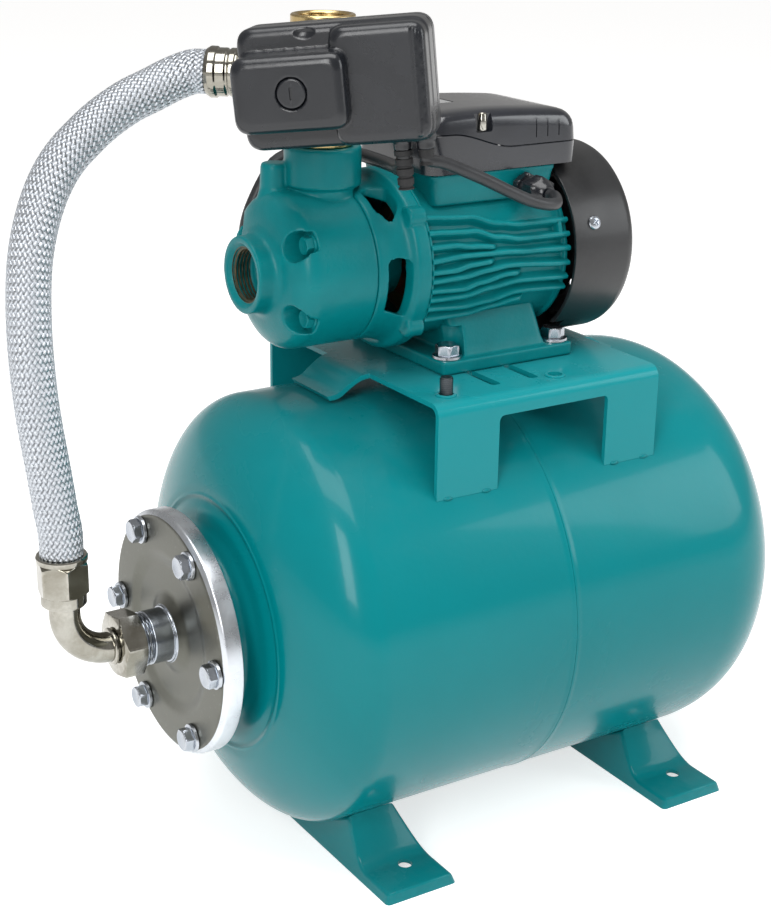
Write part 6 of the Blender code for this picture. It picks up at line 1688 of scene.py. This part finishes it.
# Cable gland: black nylon body screwed into the casting, with its domed clamping nut.
GLAND_BASE = -41.3
GLAND_FLATS = 17.4
profile = [(0, 0), (0, 8.7), (0.6, 10.6, 1), (4.4, 10.6, 1), (5.0, 8.9), (5.1, 7.2), (10.9, 7.2), (11.0, 8.2),
           (11.5, 10.0, 1),
           (18.2, 10.0, 1), (19.4, 8.3), (20.6, 7.4), (22.4, 6.5), (24.0, 5.4), (24.7, 4.6), (24.7, 0)]
gland = turned(profile, spot(GLAND[0], GLAND_BASE, GLAND[2]), (0, -1, 0), 96, GLAND_FLATS)
piece("gland_body", [gland], COVER_BLACK, "frame", "black_plastic", ["cable_gland"], 35)


# Fan cover: pressed black sheet over the cooling fan, notched round the motor's foot, with
# slots in its back and cross-head screws in its flanks.
FAN_COVER = (254.0, 302.0)
COVER_SCREWS = (269.0, (161, 19))
COVER_SLOTS = ((20.0, 5), (39.0, 9))
COVER_NOTCH = (250.0, 263.5, -60, 60, 290, 323.2)
r = FAN_COVER_RADIUS
profile = [(FAN_COVER[0], r - 0.3), (FAN_COVER[0] + 0.4, r), (FAN_COVER[1] - 8.0, r), (FAN_COVER[1] - 5.2, r - 0.5),
           (FAN_COVER[1] - 3.0, r - 1.6), (FAN_COVER[1] - 1.2, r - 3.4), (FAN_COVER[1] - 0.3, r - 5.4),
           (FAN_COVER[1], r - 7.6),
           (FAN_COVER[1], 46), (FAN_COVER[1] - 0.8, 44.5), (FAN_COVER[1] - 0.8, 12), (FAN_COVER[1], 10.5),
           (FAN_COVER[1], 0),
           (FAN_COVER[1] - 2.6, 0), (FAN_COVER[1] - 2.6, r - 8), (FAN_COVER[1] - 8, r - 2), (FAN_COVER[0], r - 2)]
hood = turned(profile, shaft_axis, segs=160)
cuts = [block(*COVER_NOTCH)]
for ring_r, count in COVER_SLOTS:
    for k in range(count):
        turn = 2 * math.pi * (k + 0.5) / count
        outline = eased([(-3.4, ring_r - 7), (3.4, ring_r - 7), (3.4, ring_r + 7), (-3.4, ring_r + 7)], 3.0, True)
        spun = [(a * math.cos(turn) - b * math.sin(turn), a * math.sin(turn) + b * math.cos(turn)) for a, b in outline]
        cuts.append(ringed([[spot(x, a, AXIS_Z + b) for a, b in spun] for x in (FAN_COVER[1] - 6, FAN_COVER[1] + 4)]))
HOOD_BLACK = black_moulding("hood_black", (0.0085, 0.0090, 0.0100, 1), (0.0160, 0.0165, 0.0180, 1), (0.32, 0.44), 0.18,
                            0.1)
hood = settled(combined("fan_hood", hood, "DIFFERENCE", cuts, HOOD_BLACK), 35)
dress(hood, "frame", "black_plastic", "fan_cover")
screws = []
for angle in COVER_SCREWS[1]:
    turn = math.radians(angle)
    out = Vector((0, math.cos(turn), math.sin(turn)))
    seat = shaft_axis + Vector((COVER_SCREWS[0] * MM, 0, 0)) + out * (r + 0.1) * MM
    head = put(as_mesh(turned([(-3, 0), (-3, 2.0), (0, 2.0), (0, 4.3), (0.5, 4.4), (1.2, 4.0), (1.8, 2.9), (2.0, 1.4),
                               (2.05, 0)],
                              seat, tuple(out), 48)), "screw_head")
    across = Vector((1, 0, 0)).lerp(out.cross(Vector((1, 0, 0))), 0.35).normalized()
    for way in (across, out.cross(across)):
        wide = out.cross(way)
        ring = [seat + way * (a * 2.3 * MM) + wide * (b * 0.5 * MM) for a, b in ((-1, -1), (1, -1), (1, 1), (-1, 1))]
        head = combined("screw_head", head, "DIFFERENCE",
                        [ringed([[p + out * 0.9 * MM for p in ring], [p + out * 4 * MM for p in ring]])])
    screws.append(taken(head))
piece("hood_screws", screws, BRIGHT_ZINC, "frame", "bright_zinc", ["fan_cover_screw_1", "fan_cover_screw_2"], 30)


# Brass fitting: a five-way body turned from bar, screwed into the pump's outlet, with the
# open outlet on top, the hose's port at the back and the switch's port in front.
BRASS_TOP = 516.0
BRASS_DARK = (0.42, 0.29, 0.115, 1)
BRASS_LIGHT = (0.72, 0.56, 0.29, 1)
WARM_BRASS = plated("warm_brass", BRASS_DARK, BRASS_LIGHT, (0.18, 0.32), spot(DISCHARGE_X, 0, 0), (0, 0, 1), 0.22,
                    (0.90, 0.76, 0.48, 1))
profile = [(430, 12.0), (430, 15.8), (431, 16.4), (441.1, 16.4), (441.4, 18.2, 0.4), (444.5, 18.4, 0.4),
           (445.6, 16.8, 0.6),
           (492, 16.8, 1), (497.5, 18.9, 1), (503, 18.9, 0.3), (503.4, 18.3, 0.2), (504.2, 18.3, 0.2),
           (504.6, 18.9, 0.3),
           (BRASS_TOP - 0.8, 18.9, 0.5), (BRASS_TOP, 18.0, 0.4), (BRASS_TOP, 16.9, 0.4), (BRASS_TOP - 1.2, 15.6, 0.3),
           (BRASS_TOP - 15, 15.2), (BRASS_TOP - 15.5, 12.0)]
top_base = spot(DISCHARGE_X, 0, 0)
shapes = [turned(eased(profile, 0.3, True), top_base, up, 128)]
shapes.append(threaded(BRASS_TOP - 14.5, BRASS_TOP - 1.6, 15.4, 14.2, 2.3, top_base, up, bore=16.4))
port = [(13.5, 0), (13.5, 14.8), (22.0, 15.0), (22.3, 14.2), (34.0, 14.0), (34.0, 10.0), (30, 9.5), (30, 0)]
shapes.append(turned(port, hose_root, hose_way, 96))
shapes.append(turned([(13.5, 0), (13.5, 9.2), (26.2, 9.2), (26.2, 0)], switch_root, switch_out, 64))
piece("brass_body", shapes, WARM_BRASS, "frame", "brass", ["brass_fitting"], 35)


# Pressure switch: a moulded base on its threaded stem with two cable outlets below, and a
# loose-fitting cover with a raised field, a deeper block beside it and a slotted screw.
SWITCH_FACE = (-34.0, 72.5, -33.5, 33.5)
SWITCH_DEPTH = {"back": 33.0, "split": 45.0, "body": 62.0, "block": 72.0, "front": 85.0}
BLOCK_FIELD = (19.0, 71.8, -32.2, 31.8)
RAISED_FIELD = (-33.8, 29.2, -21.2, 20.2)


def slab(field, corner, layers):
    """A rounded slab in the switch's frame from (depth, inset) layers."""
    rings = []
    for depth, inset in layers:
        u0, u1, w0, w1 = field
        outline = [(u0 + inset, w0 + inset), (u1 - inset, w0 + inset), (u1 - inset, w1 - inset),
                   (u0 + inset, w1 - inset)]
        rings.append([on_switch(a, b, depth) for a, b in eased(outline, max(corner - inset * 0.6, 1), True, 10)])
    return ringed(rings)


def crowned(start, top, soft, draft=0.0):
    """Layers that rise straight and turn over a rounded edge."""
    out = [(start, -draft)]
    for k in range(8):
        turn = math.pi / 2 * k / 7
        out.append((top - soft * (1 - math.sin(turn)), soft * (1 - math.cos(turn))))
    return out


def dent(along, up_by, out_by, size, rings=3):
    """A stretched ball to scoop with, its radii given along, up and out."""
    ball = bmesh.new()
    bmesh.ops.create_icosphere(ball, subdivisions=rings, radius=1.0)
    for vert in ball.verts:
        a, b, c = vert.co
        vert.co = on_switch(along + a * size[0], up_by + b * size[1], out_by + c * size[2])
    bmesh.ops.recalc_face_normals(ball, faces=ball.faces)
    return ball


d = SWITCH_DEPTH
solids = [slab(SWITCH_FACE, 10, [(d["back"], 3.0), (d["back"] + 1.2, 1.4), (d["back"] + 3.0, 0.3),
                                 (d["back"] + 5.0, 0.0), (d["split"] - 0.3, 0.0)]),
          turned([(26.5, 0), (26.5, 9.4), (34, 9.4), (34, 0)], switch_root, switch_out, 64)]
for along in (MAINS_OUTLET, CABLE_OUTLET):
    out = turned([(-2, 0), (-2, 6.2), (2.0, 6.2), (3.0, 5.4), (7.2, 5.2), (7.2, 0)],
                 on_switch(along, SWITCH_LOW, OUTLET_DEPTH),
                 tuple(-switch_up), 48)
    solids.append(out)
cast("switch_box", solids, [], MOULD_SKIN, COVER_BLACK, "frame", "black_plastic", ["switch_base"])

solids = [slab(SWITCH_FACE, 10, crowned(d["split"] + 0.3, d["body"], 5.0)),
          slab(BLOCK_FIELD, 9, crowned(d["body"] - 8, d["block"], 5.5, 0.3)),
          slab(RAISED_FIELD, 9, crowned(d["body"] - 8, d["front"], 6.0, 0.6)),
          slab((64.5, 67.3, -29, 29), 1.2, crowned(d["body"] - 8, d["block"] + 0.7, 1.0)),
          slab((12.0, 34.0, -19.5, 18.5), 7, [(d["body"] - 8, -1.5), (d["body"] + 4, -1.0), (d["block"] - 1, 1.0)])]
cuts = [turned([(83.0, 0), (83.0, 8.7), (90, 8.7), (90, 0)], switch_root, switch_out, 64),
        dent(5.0, 29.8, d["body"] + 3.4, (9.0, 5.4, 4.9)),
        slab((68.9, 69.7, -40, 40), 0.3, [(d["body"] + 2.0, 0), (d["block"] + 4, 0)])]
cast("switch_hood", solids, cuts, MOULD_SKIN, COVER_BLACK, "switch_cover_body", "black_plastic", ["switch_cover"])

profile = [(83.2, 0), (83.2, 8.0), (84.6, 8.0), (85.2, 7.5), (85.3, 6.8), (85.3, 0)]
screw = combined("cover_screw_head", turned(eased(profile, 0.4), switch_root, switch_out, 72), "DIFFERENCE",
                 [slab((-1.0, 1.0, -3.6, 3.6), 0.9, [(84.2, 0), (90, 0)])], COVER_BLACK)
dress(settled(screw, 35), "cover_screw_body", "black_plastic", "cover_screw")


# Air valve: the stem in the rear dome, its core and the ribbed dust cap.
CAP_RIBS = 24
RIB_DEPTH = 0.035
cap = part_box("valve_cap")
cap_x0, cap_x1 = (cap[0].x - FACE_X) / MM, (cap[1].x - FACE_X) / MM
cap_r = (cap[1].z - cap[0].z) / 2 / MM
profile = [(cap_x0, cap_r * 0.80), (cap_x0, cap_r - 0.3), (cap_x0 + 0.5, cap_r), (cap_x1 - 3, cap_r),
           (cap_x1 - 1.2, cap_r - 0.5),
           (cap_x1 - 0.3, cap_r - 1.5), (cap_x1, cap_r - 3.0), (cap_x1, 0), (cap_x1 - 2, 0),
           (cap_x1 - 2, cap_r * 0.80)]
cap_shape = turned(profile, tank_axis, segs=96)
for vert in cap_shape.verts:
    off = vert.co - tank_axis
    around = math.atan2(off.z, off.y)
    radius = math.hypot(off.y, off.z) / MM
    if radius > cap_r - 0.2:
        shrink = 1 - RIB_DEPTH * (0.5 + 0.5 * math.cos(around * CAP_RIBS))
        vert.co = tank_axis + Vector((off.x, off.y * shrink, off.z * shrink))
piece("dust_cap", [cap_shape], COVER_BLACK, "valve_cap_body", "black_plastic", ["valve_cap"], 40)


# Inner pieces: seen through the windows, the ports and the slots, or with a cover off.
# They keep their solids and take worked materials.
def speckled(name, dark, light, gloss, metal, scale=200.0):
    """A plain worked surface: two shades in fine patches, gloss to match."""
    made, graph, shader = bare_material(name)
    place = graph.add("ShaderNodeTexCoord").outputs["Object"]
    fine = graph.add("ShaderNodeTexNoise", {"Vector": place, "Scale": scale, "Detail": 4.0})
    smear = smears(graph, 50.0, gloss[0], gloss[1])
    dust = dusted(graph, 90.0, 0.15)
    shade = blend(graph, dust, blend(graph, fine.outputs["Fac"], dark, light), DUST_GREY)
    graph.link(shade, shader.inputs["Base Color"])
    graph.link(smear["Value"], shader.inputs["Roughness"])
    shader.inputs["Metallic"].default_value = metal
    return made


inner_metal = plated("ground_steel", (0.42, 0.42, 0.43, 1), (0.60, 0.60, 0.61, 1), (0.16, 0.28), shaft_axis, (1, 0, 0),
                     0.25)
inner_looks = {
    "ground_steel": (inner_metal, ["pump_shaft", "front_bearing", "rear_bearing", "range_spring"]),
    "warm_brass": (WARM_BRASS, ["impeller", "valve_stem", "valve_core"]),
    "copper_coil": (speckled("copper_coil", (0.30, 0.10, 0.03, 1), (0.52, 0.22, 0.09, 1), (0.26, 0.4), 0.8, 900.0),
                    ["stator"]),
    "core_laminate": (speckled("core_laminate", (0.09, 0.09, 0.095, 1), (0.20, 0.20, 0.21, 1), (0.35, 0.5), 0.9),
                      ["rotor"]),
    "seal_face": (speckled("seal_face", (0.55, 0.53, 0.49, 1), (0.70, 0.68, 0.64, 1), (0.3, 0.5), 0.0),
                  ["shaft_seal", "contact_block"]),
    "butyl": (DARK_RUBBER, ["tank_bladder"]),
    "teal_cast": (TEAL_CAST, ["rear_shield"]),
    "hood_black": (HOOD_BLACK, ["cooling_fan", "run_capacitor"]),
}
for look, names in inner_looks.values():
    for name in names:
        for held in nodes[name].material_slots:
            held.material = look


# Picture: plain colour output.
bpy.context.scene.view_settings.view_transform = "Standard"
